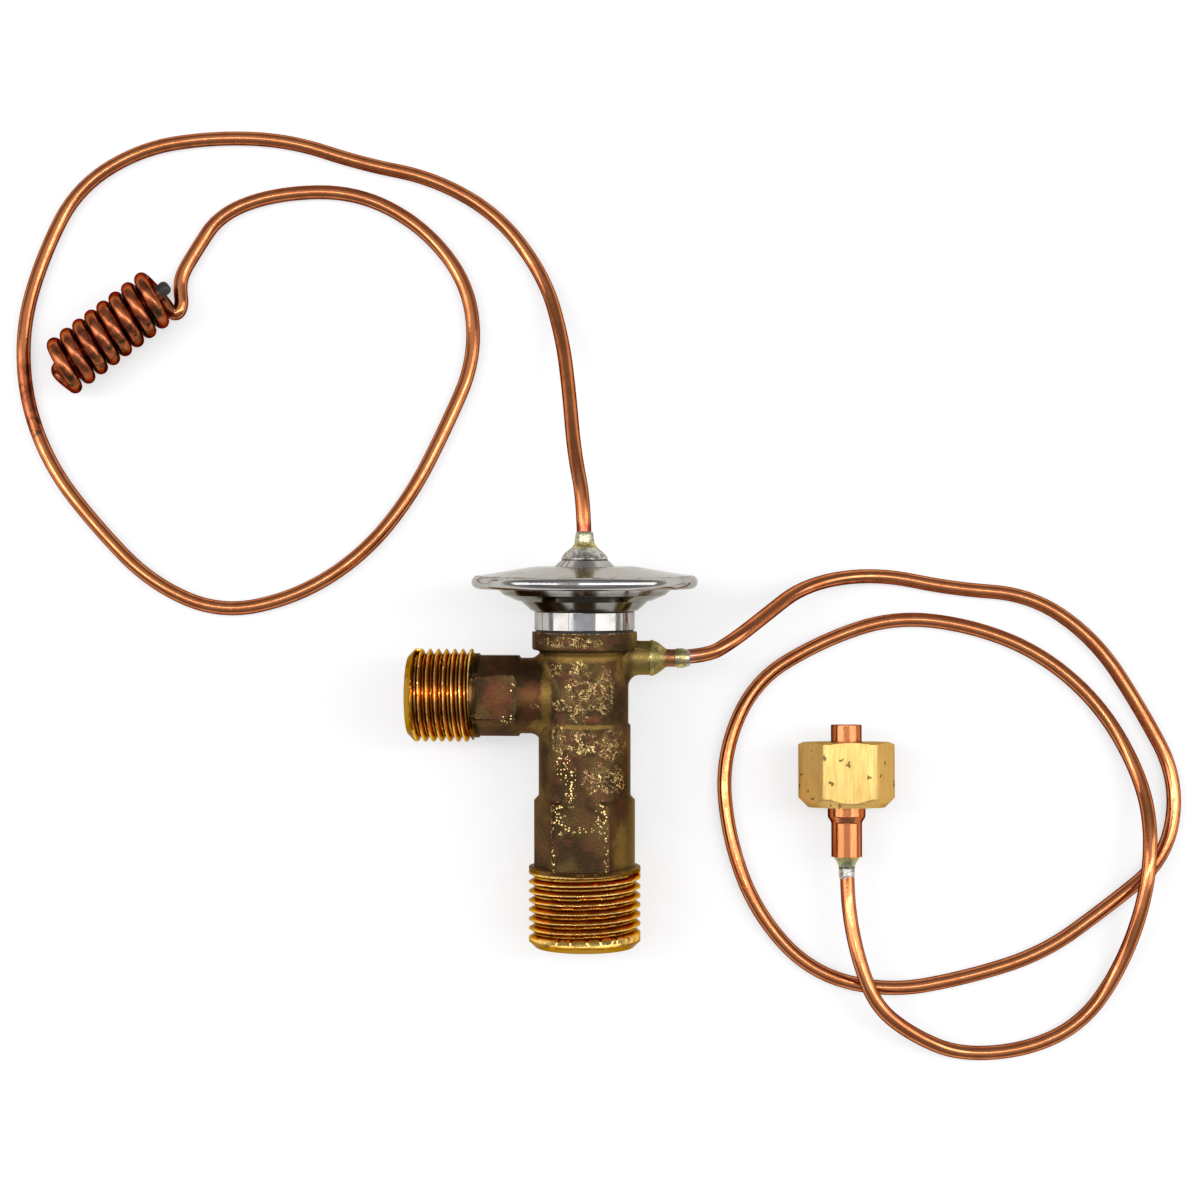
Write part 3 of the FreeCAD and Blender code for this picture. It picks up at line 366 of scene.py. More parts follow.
def spunPiece(name, shape):
    # the profile spun round its axis, closed, subdivided and then roughened by a cloud texture
    outline = bpy.data.meshes.new(name)
    spots = [(radius, 0, height) for radius, height in shape["profile"]]
    outline.from_pydata(spots, [(i, i + 1) for i in range(len(spots) - 1)], [])
    piece = added(name, outline)
    pick(piece)
    bpy.ops.object.mode_set(mode="EDIT")
    bpy.ops.mesh.select_all(action="SELECT")
    bpy.ops.mesh.spin(steps=brazeForm["spinSteps"], angle=2 * math.pi, center=(0, 0, 0),
                      axis=(0, 0, 1))
    bpy.ops.mesh.select_all(action="SELECT")
    bpy.ops.mesh.remove_doubles(threshold=brazeForm["weld"])
    bpy.ops.mesh.fill_holes(sides=0)
    bpy.ops.mesh.normals_make_consistent(inside=False)
    bpy.ops.object.mode_set(mode="OBJECT")
    finishModifier(piece, "SUBSURF", levels=brazeForm["levels"], render_levels=brazeForm["levels"])
    clouds = bpy.data.textures.new(name + "Clouds", "CLOUDS")
    clouds.noise_scale = shape["grain"]
    clouds.noise_depth = brazeForm["cloudDepth"]
    finishModifier(piece, "DISPLACE", texture=clouds, strength=shape["rough"], mid_level=0.5)
    laidDown(piece, shape)
    pick(piece)
    bpy.ops.object.shade_smooth()
    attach(piece, "valve")
    return piece


domeBraze = spunPiece("domeBraze", headBraze)
portBraze = spunPiece("portBraze", stubBraze)
tailBraze = spunPiece("tailBraze", ferruleBraze)
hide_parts("head_braze")
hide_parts("stub_braze")
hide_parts("ferrule_braze")
print("brazes made")


# small helpers for node trees
def feed(tree, socket, value):
    # a socket takes another node's output, a colour or a plain value
    if isinstance(value, bpy.types.NodeSocket):
        tree.links.new(value, socket)
    elif socket.type == "RGBA" and len(value) == 3:
        socket.default_value = (*value, 1)
    else:
        socket.default_value = value


def addNode(tree, kind, inputs, **settings):
    node = tree.nodes.new(kind)
    for key, value in settings.items():
        setattr(node, key, value)
    for key, value in inputs.items():
        feed(tree, node.inputs[key], value)
    return node


def sums(tree, operation, first, second=0.0, third=0.0):
    node = addNode(tree, "ShaderNodeMath", {0: first, 1: second}, operation=operation)
    if operation == "MULTIPLY_ADD":
        feed(tree, node.inputs[2], third)
    return node.outputs[0]


def times(tree, first, second):
    return sums(tree, "MULTIPLY", first, second)


def offFrom(tree, value, middle):
    return sums(tree, "ABSOLUTE", sums(tree, "SUBTRACT", value, middle))


def vectors(tree, operation, first, second):
    node = addNode(tree, "ShaderNodeVectorMath", {0: first, 1: second}, operation=operation)
    return node.outputs["Value"] if operation == "DOT_PRODUCT" else node.outputs["Vector"]


def fade(tree, value, low, high, bottom=0.0, top=1.0):
    # from bottom at low to top at high, level outside
    node = addNode(tree, "ShaderNodeMapRange", {
        "Value": value, "From Min": low, "From Max": high, "To Min": bottom, "To Max": top,
    }, interpolation_type="SMOOTHSTEP")
    return node.outputs["Result"]


def mixed(tree, mask, first, second):
    node = tree.nodes.new("ShaderNodeMix")
    node.data_type = "RGBA"
    feed(tree, node.inputs[0], mask)
    feed(tree, node.inputs[6], first)
    feed(tree, node.inputs[7], second)
    return node.outputs[2]


def shadedSidesMask(tree):
    # a mask for painted shade on the sides: 0 on top, 1 where the surface stands upright or faces
    # down
    turned = tree.nodes.new("ShaderNodeTexCoord").outputs["Normal"]
    upright = addNode(tree, "ShaderNodeSeparateXYZ", {0: turned}).outputs["Z"]
    return fade(tree, upright, 0.68, 0.25)


def zones(tree, across, along, ragged, soft, spots):
    # 1 inside any of the listed ellipses, with ragged and more or less soft borders
    found = 0.0
    for x, z, halfWide, halfHigh in spots:
        sideways = times(tree, sums(tree, "SUBTRACT", across, x), 1 / halfWide)
        upward = times(tree, sums(tree, "SUBTRACT", along, z), 1 / halfHigh)
        square = sums(tree, "MULTIPLY_ADD", upward, upward, ragged)
        square = sums(tree, "MULTIPLY_ADD", sideways, sideways, square)
        found = sums(tree, "MAXIMUM", fade(tree, square, 1 + soft, 1 - soft), found)
    return found


def ramped(tree, value, stops):
    node = addNode(tree, "ShaderNodeValToRGB", {"Fac": value})
    elements = node.color_ramp.elements
    while len(elements) < len(stops):
        elements.new(1.0)
    for element, (place, colour) in zip(elements, stops):
        element.position = place
        element.color = (*colour, 1)
    return node.outputs["Color"]


def noisy(tree, place, scale, detail=3.0, distortion=0.0, rough=0.55):
    node = addNode(tree, "ShaderNodeTexNoise", {
        "Vector": place, "Scale": scale, "Detail": detail, "Roughness": rough,
        "Distortion": distortion,
    })
    return node.outputs["Fac"]


def clouded(tree, place, look):
    # where a noise of this scale, detail and distortion fades in, and from and to what
    scale, detail, distortion, low, high, *ends = look
    return fade(tree, noisy(tree, place, scale, detail, distortion), low, high, *ends)


def within(tree, place, limits):
    # 1 where every listed coordinate has faded in
    share = 1.0
    for coordinate, low, high in limits:
        share = times(tree, share, fade(tree, place[coordinate], low, high))
    return share


def newGroup(name, inputs, outputs):
    group = bpy.data.node_groups.new(name, "ShaderNodeTree")
    for label, kind in inputs:
        group.interface.new_socket(label, in_out="INPUT", socket_type="NodeSocket" + kind)
    for label, kind in outputs:
        group.interface.new_socket(label, in_out="OUTPUT", socket_type="NodeSocket" + kind)
    start = group.nodes.new("NodeGroupInput")
    end = group.nodes.new("NodeGroupOutput")
    return group, start.outputs, end.inputs


def placed(tree, group, inputs):
    return addNode(tree, "ShaderNodeGroup", inputs, node_tree=group).outputs


# effects that several finishes share
def axesGroup(name, foot, across, depth, along):
    # place on a part's own axes, in millimetres, and the distance from its long axis
    group, start, end = newGroup(name, [("Place", "Vector")], [
        ("Across", "Float"), ("Depth", "Float"), ("Along", "Float"), ("Radius", "Float"),
        ("Own", "Vector"),
    ])
    away = vectors(group, "SUBTRACT", start["Place"], tuple(foot))
    found = []
    for axis in (across, depth, along):
        found.append(vectors(group, "DOT_PRODUCT", away, tuple(Vector(axis) / mm)))
    for label, value in zip(("Across", "Depth", "Along"), found):
        group.links.new(value, end[label])
    square = sums(group, "MULTIPLY_ADD", found[1], found[1], times(group, found[0], found[0]))
    group.links.new(sums(group, "SQRT", square), end["Radius"])
    own = addNode(group, "ShaderNodeCombineXYZ", {0: found[0], 1: found[1], 2: found[2]})
    group.links.new(own.outputs[0], end["Own"])
    return group


def wormGroup():
    # thin winding lines where a noise passes its middle value, broken up by a finer one
    group, start, end = newGroup("windingScratches", [
        ("Place", "Vector"), ("Scale", "Float"), ("Width", "Float"), ("Broken", "Float"),
    ], [("Mask", "Float")])
    winding = noisy(group, start["Place"], start["Scale"], detail=2.0, distortion=1.1)
    off = offFrom(group, winding, 0.5)
    line = addNode(group, "ShaderNodeMapRange", {
        "Value": off, "From Min": 0.0, "From Max": start["Width"], "To Min": 1.0, "To Max": 0.0,
    })
    fine = noisy(group, start["Place"], times(group, start["Scale"], 5.0), detail=1.0)
    gap = addNode(group, "ShaderNodeMapRange", {
        "Value": fine, "From Min": start["Broken"],
        "From Max": sums(group, "ADD", start["Broken"], 0.06),
    })
    group.links.new(times(group, line.outputs[0], gap.outputs[0]), end["Mask"])
    return group


def edgeGroup():
    # bright on sharp edges, from the turn between the true and a rounded normal; painted shade in
    # corners, from ambient occlusion
    group, start, end = newGroup("edgesAndCorners", [("Width", "Float"), ("Reach", "Float")],
                                 [("Edge", "Float"), ("CornerShade", "Float")])
    rounded = addNode(group, "ShaderNodeBevel", {"Radius": start["Width"]}, samples=4)
    true = group.nodes.new("ShaderNodeNewGeometry")
    same = vectors(group, "DOT_PRODUCT", rounded.outputs[0], true.outputs["Normal"])
    group.links.new(fade(group, same, 0.93, 0.80), end["Edge"])
    hollow = addNode(group, "ShaderNodeAmbientOcclusion", {"Distance": start["Reach"]}, samples=6)
    group.links.new(fade(group, hollow.outputs["AO"], 0.95, 0.35), end["CornerShade"])
    return group


def pitGroup():
    # small dark pits, each of its own size, and none in most places
    group, start, end = newGroup("smallPits", [
        ("Place", "Vector"), ("Scale", "Float"), ("Size", "Float"), ("Share", "Float"),
    ], [("Mask", "Float")])
    cells = addNode(group, "ShaderNodeTexVoronoi", {
        "Vector": start["Place"], "Scale": start["Scale"],
    })
    chance = addNode(group, "ShaderNodeSeparateColor", {"Color": cells.outputs["Color"]})
    size = times(group, start["Size"], chance.outputs[1])
    spot = sums(group, "LESS_THAN", cells.outputs["Distance"], size)
    kept = sums(group, "LESS_THAN", chance.outputs[0], start["Share"])
    group.links.new(times(group, spot, kept), end["Mask"])
    return group


valveAxes = axesGroup("valveAxes", valveFoot, portAxis, backAxis, headAxis)
inletAxes = axesGroup("inletAxes", inletThread["foot"], headAxis, backAxis, portAxis)
nutAxes = axesGroup("nutAxes", nutFoot, nutAcross, nutAxis.cross(nutAcross), nutAxis)
coilAxes = axesGroup("coilAxes", coil["middle"], coilAcross, (0, 0, 1), coilAlong)
wormLines = wormGroup()
edgesAndCorners = edgeGroup()
smallPits = pitGroup()
print("effects made")


def newPaint(name, roughEdge=None):
    paint = bpy.data.materials.new(name)
    paint.use_nodes = True
    tree = paint.node_tree
    shader = tree.nodes["Principled BSDF"]
    place = tree.nodes.new("ShaderNodeTexCoord").outputs["Object"]
    if roughEdge:
        shader.inputs["Specular Tint"].default_value = (*roughEdge, 1)
    return paint, tree, shader, place


def dress(tree, shader, colour, metallic, rough):
    for label, value in (("Base Color", colour), ("Metallic", metallic), ("Roughness", rough)):
        feed(tree, shader.inputs[label], value)


def bumped(tree, shader, height, strength, distance):
    bump = addNode(tree, "ShaderNodeBump", {
        "Height": height, "Strength": strength, "Distance": distance,
    })
    tree.links.new(bump.outputs["Normal"], shader.inputs["Normal"])


# forged brass: brown patina, gold where it is rubbed, orange threads
patina = {
    "dark": (0.045, 0.027, 0.012),
    "olive": (0.122, 0.075, 0.026),
    "purple": (0.105, 0.042, 0.022),
    "golden": (0.33, 0.205, 0.045),
    "red": (0.20, 0.066, 0.028),
    "gold": (0.98, 0.68, 0.27),
    "portGold": (0.33, 0.24, 0.068),
    "lip": (0.42, 0.22, 0.035),
    "runOut": (0.17, 0.085, 0.022),
    "threadStops": [
        (0.0, (0.98, 0.66, 0.20)), (0.12, (0.92, 0.50, 0.085)), (0.45, (0.58, 0.21, 0.018)),
        (0.86, (0.17, 0.042, 0.005)), (1.0, (0.50, 0.25, 0.04)),
    ],
    "edgeTint": (0.55, 0.42, 0.26),
    # where each look fades in along its axis, mm
    "outletFade": (13.65, 13.5),
    "inletFade": (11.6, 11.5),
    "outletRunOut": (12.8, 12.95),
    "inletRunOut": (10.9, 11.1),
    "portFade": (7.2, 9.2),
    "lipFade": (1.45, 1.25),
    "frontFade": (-1.5, -4.5),
    # how deep the grooves look, mm
    "outletDepth": 0.974,
    "inletDepth": 0.866,
    "threadStain": (0.46, 0.17, 0.022),
    # places on the front: across, along, half width, half height
    "scratched": [
        (-0.3, 43.8, 2.2, 5.2), (3.7, 43.6, 1.7, 3.9),
        (-4.4, 47.4, 1.4, 1.2), (-3.4, 41.6, 1.4, 1.0),
        (-1.8, 52.1, 5.2, 0.9), (0.3, 35.3, 2.4, 2.6),
        (-3.8, 35.7, 1.3, 2.4), (5.0, 35.0, 2.2, 2.6),
        (3.6, 29.2, 3.2, 2.6), (-8.0, 41.3, 1.1, 0.35),
    ],
    "stippled": [
        (-1.8, 29.6, 0.9, 5.0), (-3.9, 22.6, 1.2, 2.7),
        (3.4, 22.5, 1.0, 2.7), (-4.7, 17.5, 0.35, 6.0),
        (4.25, 17.5, 0.3, 6.0), (-0.4, 20.7, 2.8, 0.55),
        (-12.3, 44.8, 0.9, 1.2), (-12.4, 39.0, 1.3, 0.8),
        (6.0, 28.2, 0.9, 1.4), (-3.6, 31.5, 0.9, 2.4),
    ],
    "goldenAt": [
        (-6.1, 42.7, 0.9, 6.4), (0.0, 49.6, 7.4, 0.9),
        (6.8, 47.6, 1.2, 2.6), (-7.2, 37.6, 2.0, 1.2),
        (0.6, 37.9, 4.5, 0.35), (6.9, 17.0, 1.5, 4.0),
    ],
    "redAt": [(-8.5, 42.4, 1.9, 2.9), (-14.4, 42.4, 2.4, 2.6), (1.5, 39.2, 1.4, 0.6)],
    # clouds: scale, detail, distortion, where the noise fades in, and from and to what
    "broad": (0.16, 4.0, 0.4, 0.42, 0.66),
    "patches": (0.34, 5.0, 0.6, 0.46, 0.60),
    "rubbed": (1.9, 3.0, 0.0, 0.48, 0.62),
    "thinned": (0.7, 1.0, 0.0, 0.40, 0.52, 0.15, 1.0),
    "threadStained": (0.9, 4.0, 0.0, 0.5, 0.75, 0.0, 0.45),
    "largeScratches": {"Scale": 0.52, "Width": 0.026, "Broken": 0.40},
    "smallScratches": {"Scale": 0.95, "Width": 0.034, "Broken": 0.43},
    "dots": {"Scale": 2.9, "Size": 0.6, "Share": 0.6},
    "edges": {"Width": 0.00035, "Reach": 0.0016},
    "bump": (0.55, 0.00012),
}


def agedBrassPaint():
    paint, tree, shader, place = newPaint("agedBrass", patina["edgeTint"])
    valve = placed(tree, valveAxes, {"Place": place})
    inlet = placed(tree, inletAxes, {"Place": place})
    own = valve["Own"]
    broad = clouded(tree, own, patina["broad"])
    patches = clouded(tree, own, patina["patches"])
    fine = noisy(tree, own, 2.6, 5.0)
    ragged = sums(tree, "MULTIPLY_ADD", noisy(tree, own, 0.9, 3.0), 2.4, -1.2)
    colour = mixed(tree, broad, patina["dark"], patina["olive"])
    colour = mixed(tree, times(tree, patches, 0.75), colour, patina["purple"])
    colour = mixed(tree, fade(tree, fine, 0.58, 0.78, 0.0, 0.5), colour, patina["olive"])
    port = fade(tree, valve["Across"], *patina["portFade"])
    colour = mixed(tree, times(tree, port, 0.85), colour, patina["portGold"])
    front = fade(tree, valve["Depth"], *patina["frontFade"])
    for label, share in (("golden", 0.6), ("red", 0.45)):
        found = zones(tree, valve["Across"], valve["Along"], ragged, 0.8, patina[label + "At"])
        colour = mixed(tree, times(tree, times(tree, found, front), share),
                       colour, patina[label])
    # rubbed edges, and painted shade in the corners
    rim = placed(tree, edgesAndCorners, patina["edges"])
    colour = mixed(tree, times(tree, rim["CornerShade"], 0.7), colour, patina["dark"])
    rubbed = times(tree, rim["Edge"], clouded(tree, own, patina["rubbed"]))
    rubbed = times(tree, rubbed, 0.7)
    # winding gold scratches and small gold dots on the front, each in their own places
    large = placed(tree, wormLines, {"Place": own, **patina["largeScratches"]})
    small = placed(tree, wormLines, {"Place": own, **patina["smallScratches"]})
    worms = sums(tree, "MAXIMUM", large["Mask"], small["Mask"])
    scratched = zones(tree, valve["Across"], valve["Along"], ragged, 0.3, patina["scratched"])
    dots = placed(tree, smallPits, {"Place": own, **patina["dots"]})
    stippled = zones(tree, valve["Across"], valve["Along"], ragged, 0.5, patina["stippled"])
    worms = times(tree, worms, clouded(tree, own, patina["thinned"]))
    worms = times(tree, worms, scratched)
    worms = sums(tree, "MAXIMUM", worms, times(tree, dots["Mask"], stippled))
    worms = times(tree, worms, front)
    bare = sums(tree, "MAXIMUM", worms, rubbed)
    # the two threads by how deep a point lies in its groove
    outletDeep = sums(tree, "SUBTRACT", outletThread["radius"], valve["Radius"])
    outletDeep = sums(tree, "DIVIDE", outletDeep, patina["outletDepth"])
    inletDeep = sums(tree, "SUBTRACT", inletThread["radius"], inlet["Radius"])
    inletDeep = sums(tree, "DIVIDE", inletDeep, patina["inletDepth"])
    onOutlet = fade(tree, valve["Along"], *patina["outletFade"])
    onInlet = fade(tree, inlet["Along"], *patina["inletFade"])
    deep = mixed(tree, onInlet, outletDeep, inletDeep)
    thread = ramped(tree, deep, patina["threadStops"])
    stain = clouded(tree, own, patina["threadStained"])
    thread = mixed(tree, stain, thread, patina["threadStain"])
    nearEnd = mixed(tree, onInlet, valve["Along"], inlet["Along"])
    thread = mixed(tree, fade(tree, nearEnd, *patina["lipFade"]), thread, patina["lip"])
    runOut = mixed(tree, onInlet, fade(tree, valve["Along"], *patina["outletRunOut"]),
                   fade(tree, inlet["Along"], *patina["inletRunOut"]))
    thread = mixed(tree, runOut, thread, patina["runOut"])
    onThread = sums(tree, "MAXIMUM", onOutlet, onInlet)
    colour = mixed(tree, bare, colour, patina["gold"])
    colour = mixed(tree, onThread, colour, thread)
    feed(tree, shader.inputs["Base Color"], colour)
    shine = sums(tree, "MAXIMUM", bare, onThread)
    feed(tree, shader.inputs["Metallic"], fade(tree, shine, 0.0, 1.0, 0.82, 1.0))
    dull = fade(tree, fine, 0.3, 0.7, 0.32, 0.5)
    rough = addNode(tree, "ShaderNodeMix", {0: shine, 2: dull, 3: 0.2})
    feed(tree, shader.inputs["Roughness"], rough.outputs[0])
    height = sums(tree, "MULTIPLY_ADD", noisy(tree, own, 5.0, 4.0), 0.35, fine)
    height = sums(tree, "MULTIPLY_ADD", worms, 0.4, height)
    height = times(tree, height, fade(tree, onThread, 0.0, 1.0, 1.0, 0.12))
    bumped(tree, shader, height, *patina["bump"])
    return paint


# swaged brass end of the port: yellow green, then copper brown at its neck
swaged = {
    "brass": (0.44, 0.37, 0.125),
    "neck": (0.36, 0.155, 0.07),
    "band": (0.80, 0.62, 0.26),
    "neckFade": (13.3, 13.9),
    "bandFade": (11.75, 11.6),
    "speckFade": (13.2, 12.6, 0.0, 0.6),
    "speck": (0.14, 0.10, 0.03),
    # clouds: scale, detail, distortion, where the noise fades in, and from and to what
    "stained": (1.3, 4.0, 0.0, 0.4, 0.65),
    "specks": {"Scale": 2.4, "Size": 0.5, "Share": 0.5},
    "marks": {"Scale": 1.6, "Width": 0.05, "Broken": 0.4},
    "bump": (0.4, 0.0001),
}


def portBrassPaint():
    paint, tree, shader, place = newPaint("portBrass", patina["edgeTint"])
    valve = placed(tree, valveAxes, {"Place": place})
    stain = clouded(tree, valve["Own"], swaged["stained"])
    colour = mixed(tree, times(tree, stain, 0.5), swaged["brass"], patina["olive"])
    neck = fade(tree, valve["Across"], *swaged["neckFade"])
    colour = mixed(tree, neck, colour, swaged["neck"])
    band = fade(tree, valve["Across"], *swaged["bandFade"])
    specks = placed(tree, smallPits, {"Place": valve["Own"], **swaged["specks"]})
    specks = times(tree, specks["Mask"], fade(tree, valve["Across"], *swaged["speckFade"]))
    colour = mixed(tree, specks, colour, swaged["speck"])
    marks = placed(tree, wormLines, {"Place": valve["Own"], **swaged["marks"]})
    colour = mixed(tree, times(tree, band, marks["Mask"]), colour, swaged["band"])
    dress(tree, shader, colour, 0.9, fade(tree, stain, 0.0, 1.0, 0.26, 0.42))
    bumped(tree, shader, noisy(tree, valve["Own"], 3.0, 4.0), *swaged["bump"])
    return paint


# polished steel of the head
polished = {
    "steel": (0.46, 0.45, 0.425),
    "smudge": (0.36, 0.345, 0.31),
    # colour of the painted shade under the rim and in the hollows
    "paintedShade": (0.085, 0.078, 0.055),
    # colour of the painted reflection down the middle of the collar
    "blue": (0.36, 0.38, 0.41),
    "rust": (0.20, 0.085, 0.04),
    "edgeTint": (0.70, 0.67, 0.62),
    "rustRings": [(61.05, 0.10), (63.1, 0.09), (65.75, 0.12), (59.95, 0.06)],
    "collarLines": [(-6.75, 0.09), (6.95, 0.14), (-2.05, 0.05), (2.0, 0.05)],
    "collarFade": (57.2, 57.1),
    "blueFade": (2.1, 1.7),
    # painted shade under the rim, for the dark reflection there: fades in at its foot, out at its
    # top
    "underRim": [("Along", 57.2, 57.6), ("Along", 61.0, 60.4)],
    # clouds: scale, detail, distortion, where the noise fades in, and from and to what
    "smudged": (0.28, 4.0, 0.8, 0.48, 0.68),
    "reflectionMottle": (0.8, 4.0, 0.0, 0.38, 0.62, 0.25, 0.9),
    "broken": (0.5, 5.0, 0.0, 0.46, 0.58),
    "edges": {"Width": 0.0003, "Reach": 0.0025},
    "bump": (0.12, 0.00004),
}


def steelPaint():
    paint, tree, shader, place = newPaint("polishedSteel", polished["edgeTint"])
    valve = placed(tree, valveAxes, {"Place": place})
    own = valve["Own"]
    smudge = clouded(tree, own, polished["smudged"])
    colour = mixed(tree, times(tree, smudge, 0.6), polished["steel"], polished["smudge"])
    onCollar = fade(tree, valve["Along"], *polished["collarFade"])
    # a painted reflection: mottled bluish grey down the middle of the collar
    middle = fade(tree, sums(tree, "ABSOLUTE", valve["Across"]), *polished["blueFade"])
    middle = times(tree, times(tree, middle, onCollar), clouded(tree, own, polished["reflectionMottle"]))
    colour = mixed(tree, middle, colour, polished["blue"])
    # painted shade under the rim and in the hollows
    under = within(tree, valve, polished["underRim"])
    hollow = placed(tree, edgesAndCorners, polished["edges"])["CornerShade"]
    paintedShade = sums(tree, "MAXIMUM", times(tree, under, 0.55),
                 times(tree, hollow, 0.75))
    colour = mixed(tree, paintedShade, colour, polished["paintedShade"])
    breaks = clouded(tree, own, polished["broken"])
    rust = 0.0
    for height, width in polished["rustRings"]:
        off = offFrom(tree, valve["Along"], height)
        ring = times(tree, fade(tree, off, width, width / 3), breaks)
        rust = sums(tree, "MAXIMUM", ring, rust)
    for across, width in polished["collarLines"]:
        off = offFrom(tree, valve["Across"], across)
        line = times(tree, fade(tree, off, width, width / 3), onCollar)
        rust = sums(tree, "MAXIMUM", line, rust)
    colour = mixed(tree, times(tree, rust, 0.85), colour, polished["rust"])
    feed(tree, shader.inputs["Base Color"], colour)
    shader.inputs["Metallic"].default_value = 1.0
    base = fade(tree, smudge, 0.0, 1.0, 0.10, 0.2)
    feed(tree, shader.inputs["Roughness"], sums(tree, "MULTIPLY_ADD", rust, 0.4, base))
    # fine rings left by turning and polishing
    lathe = addNode(tree, "ShaderNodeCombineXYZ", {0: valve["Radius"], 2: valve["Along"]})
    rings = addNode(tree, "ShaderNodeTexNoise", {
        "Vector": lathe.outputs[0], "Scale": 7.0, "Detail": 2.0,
    })
    bumped(tree, shader, rings.outputs["Fac"], *polished["bump"])
    return paint


# drawn copper, bright on the tubes and dark on the coil
copper = {
    "bright": (0.68, 0.24, 0.095),
    "deep": (0.46, 0.135, 0.05),
    "stain": (0.13, 0.036, 0.016),
    # colour of the painted shade on the tubes' sides
    "sideShade": (0.125, 0.030, 0.010),
    "pink": (0.70, 0.35, 0.26),
    "foot": (0.30, 0.062, 0.035),
    "coil": (0.52, 0.150, 0.060),
    "coilDeep": (0.25, 0.068, 0.031),
    "coilGreen": (0.10, 0.062, 0.030),
    "edgeTint": (0.22, 0.07, 0.035),
    # where the coil is on its own axes, and the pink run from the port on the valve's, mm
    "coilPlace": [("Along", -11.9, -10.9), ("Radius", 7.4, 6.6)],
    "pinkPlace": [("Across", 20.5, 17.0), ("Across", 12.0, 14.0),
                  ("Along", 56.0, 54.0), ("Along", 44.0, 46.0)],
    "greenFade": (0.0, -4.5),
    "footHeight": 70.6,
    "footFade": (2.2, 0.6),
    "footWide": (4.0, 2.0),
    # clouds: scale, detail, distortion, where the noise fades in, and from and to what
    "toned": (0.35, 5.0, 0.5, 0.40, 0.66),
    "spotted": (2.2, 4.0, 0.4, 0.62, 0.74),
    "darkened": (0.42, 4.0, 0.4, 0.44, 0.64),
    "greened": (0.7, 3.0, 0.0, 0.46, 0.6),
    "bump": (0.15, 0.00006),
}


def copperPaint(name, axes, streak):
    paint, tree, shader, place = newPaint(name, copper["edgeTint"])
    own = placed(tree, axes, {"Place": place})["Own"]
    stretched = addNode(tree, "ShaderNodeMapping", {"Vector": own, "Scale": streak}).outputs[0]
    tone = clouded(tree, stretched, copper["toned"])
    colour = mixed(tree, times(tree, tone, 0.55), copper["bright"], copper["deep"])
    spots = clouded(tree, stretched, copper["spotted"])
    colour = mixed(tree, times(tree, spots, 0.4), colour, copper["stain"])
    rough = fade(tree, tone, 0.0, 1.0, 0.13, 0.22)
    if name == "copperTube":
        coilOwn = placed(tree, coilAxes, {"Place": place})
        onCoil = within(tree, coilOwn, copper["coilPlace"])
        dark = clouded(tree, coilOwn["Own"], copper["darkened"])
        wound = mixed(tree, dark, copper["coil"], copper["coilDeep"])
        low = fade(tree, coilOwn["Across"], *copper["greenFade"])
        green = times(tree, low, clouded(tree, coilOwn["Own"], copper["greened"]))
        wound = mixed(tree, green, wound, copper["coilGreen"])
        colour = mixed(tree, onCoil, colour, wound)
        rough = addNode(tree, "ShaderNodeMix", {0: onCoil, 2: rough, 3: 0.26}).outputs[0]
        valve = placed(tree, valveAxes, {"Place": place})
        near = within(tree, valve, copper["pinkPlace"])
        colour = mixed(tree, times(tree, near, 0.75), colour, copper["pink"])
    # painted shade: the copper darkens where its surface turns upright or faces down
    sides = times(tree, shadedSidesMask(tree), fade(tree, tone, 0.0, 1.0, 0.8, 0.95))
    if name == "copperTube":
        sides = times(tree, sides, fade(tree, onCoil, 0.0, 1.0, 1.0, 0.55))
        foot = fade(tree, offFrom(tree, valve["Along"], copper["footHeight"]), *copper["footFade"])
        aside = fade(tree, sums(tree, "ABSOLUTE", valve["Across"]), *copper["footWide"])
        foot = times(tree, foot, aside)
        colour = mixed(tree, foot, colour, copper["foot"])
    colour = mixed(tree, sides, colour, copper["sideShade"])
    dress(tree, shader, colour, 1.0, rough)
    bumped(tree, shader, noisy(tree, stretched, 1.8, 3.0), *copper["bump"])
    return paint


# cast look of the brazes, silver grey where it flowed and yellow where it is thin
silverBraze = {
    "silver": (0.60, 0.585, 0.53),
    "grey": (0.24, 0.225, 0.19),
    "yellow": (0.62, 0.49, 0.16),
    "green": (0.46, 0.48, 0.20),
    "thin": (0.56, 0.49, 0.22),
    "soot": (0.05, 0.04, 0.03),
    "pale": (0.56, 0.53, 0.38),
    "rust": (0.22, 0.09, 0.045),
    "edgeTint": (0.6, 0.56, 0.48),
    # clouds: scale, detail, distortion, where the noise fades in, and from and to what
    "darkened": (1.1, 5.0, 0.9, 0.52, 0.62),
    "rusted": (0.75, 4.0, 0.5, 0.56, 0.64),
    "bump": (0.55, 0.00012),
}


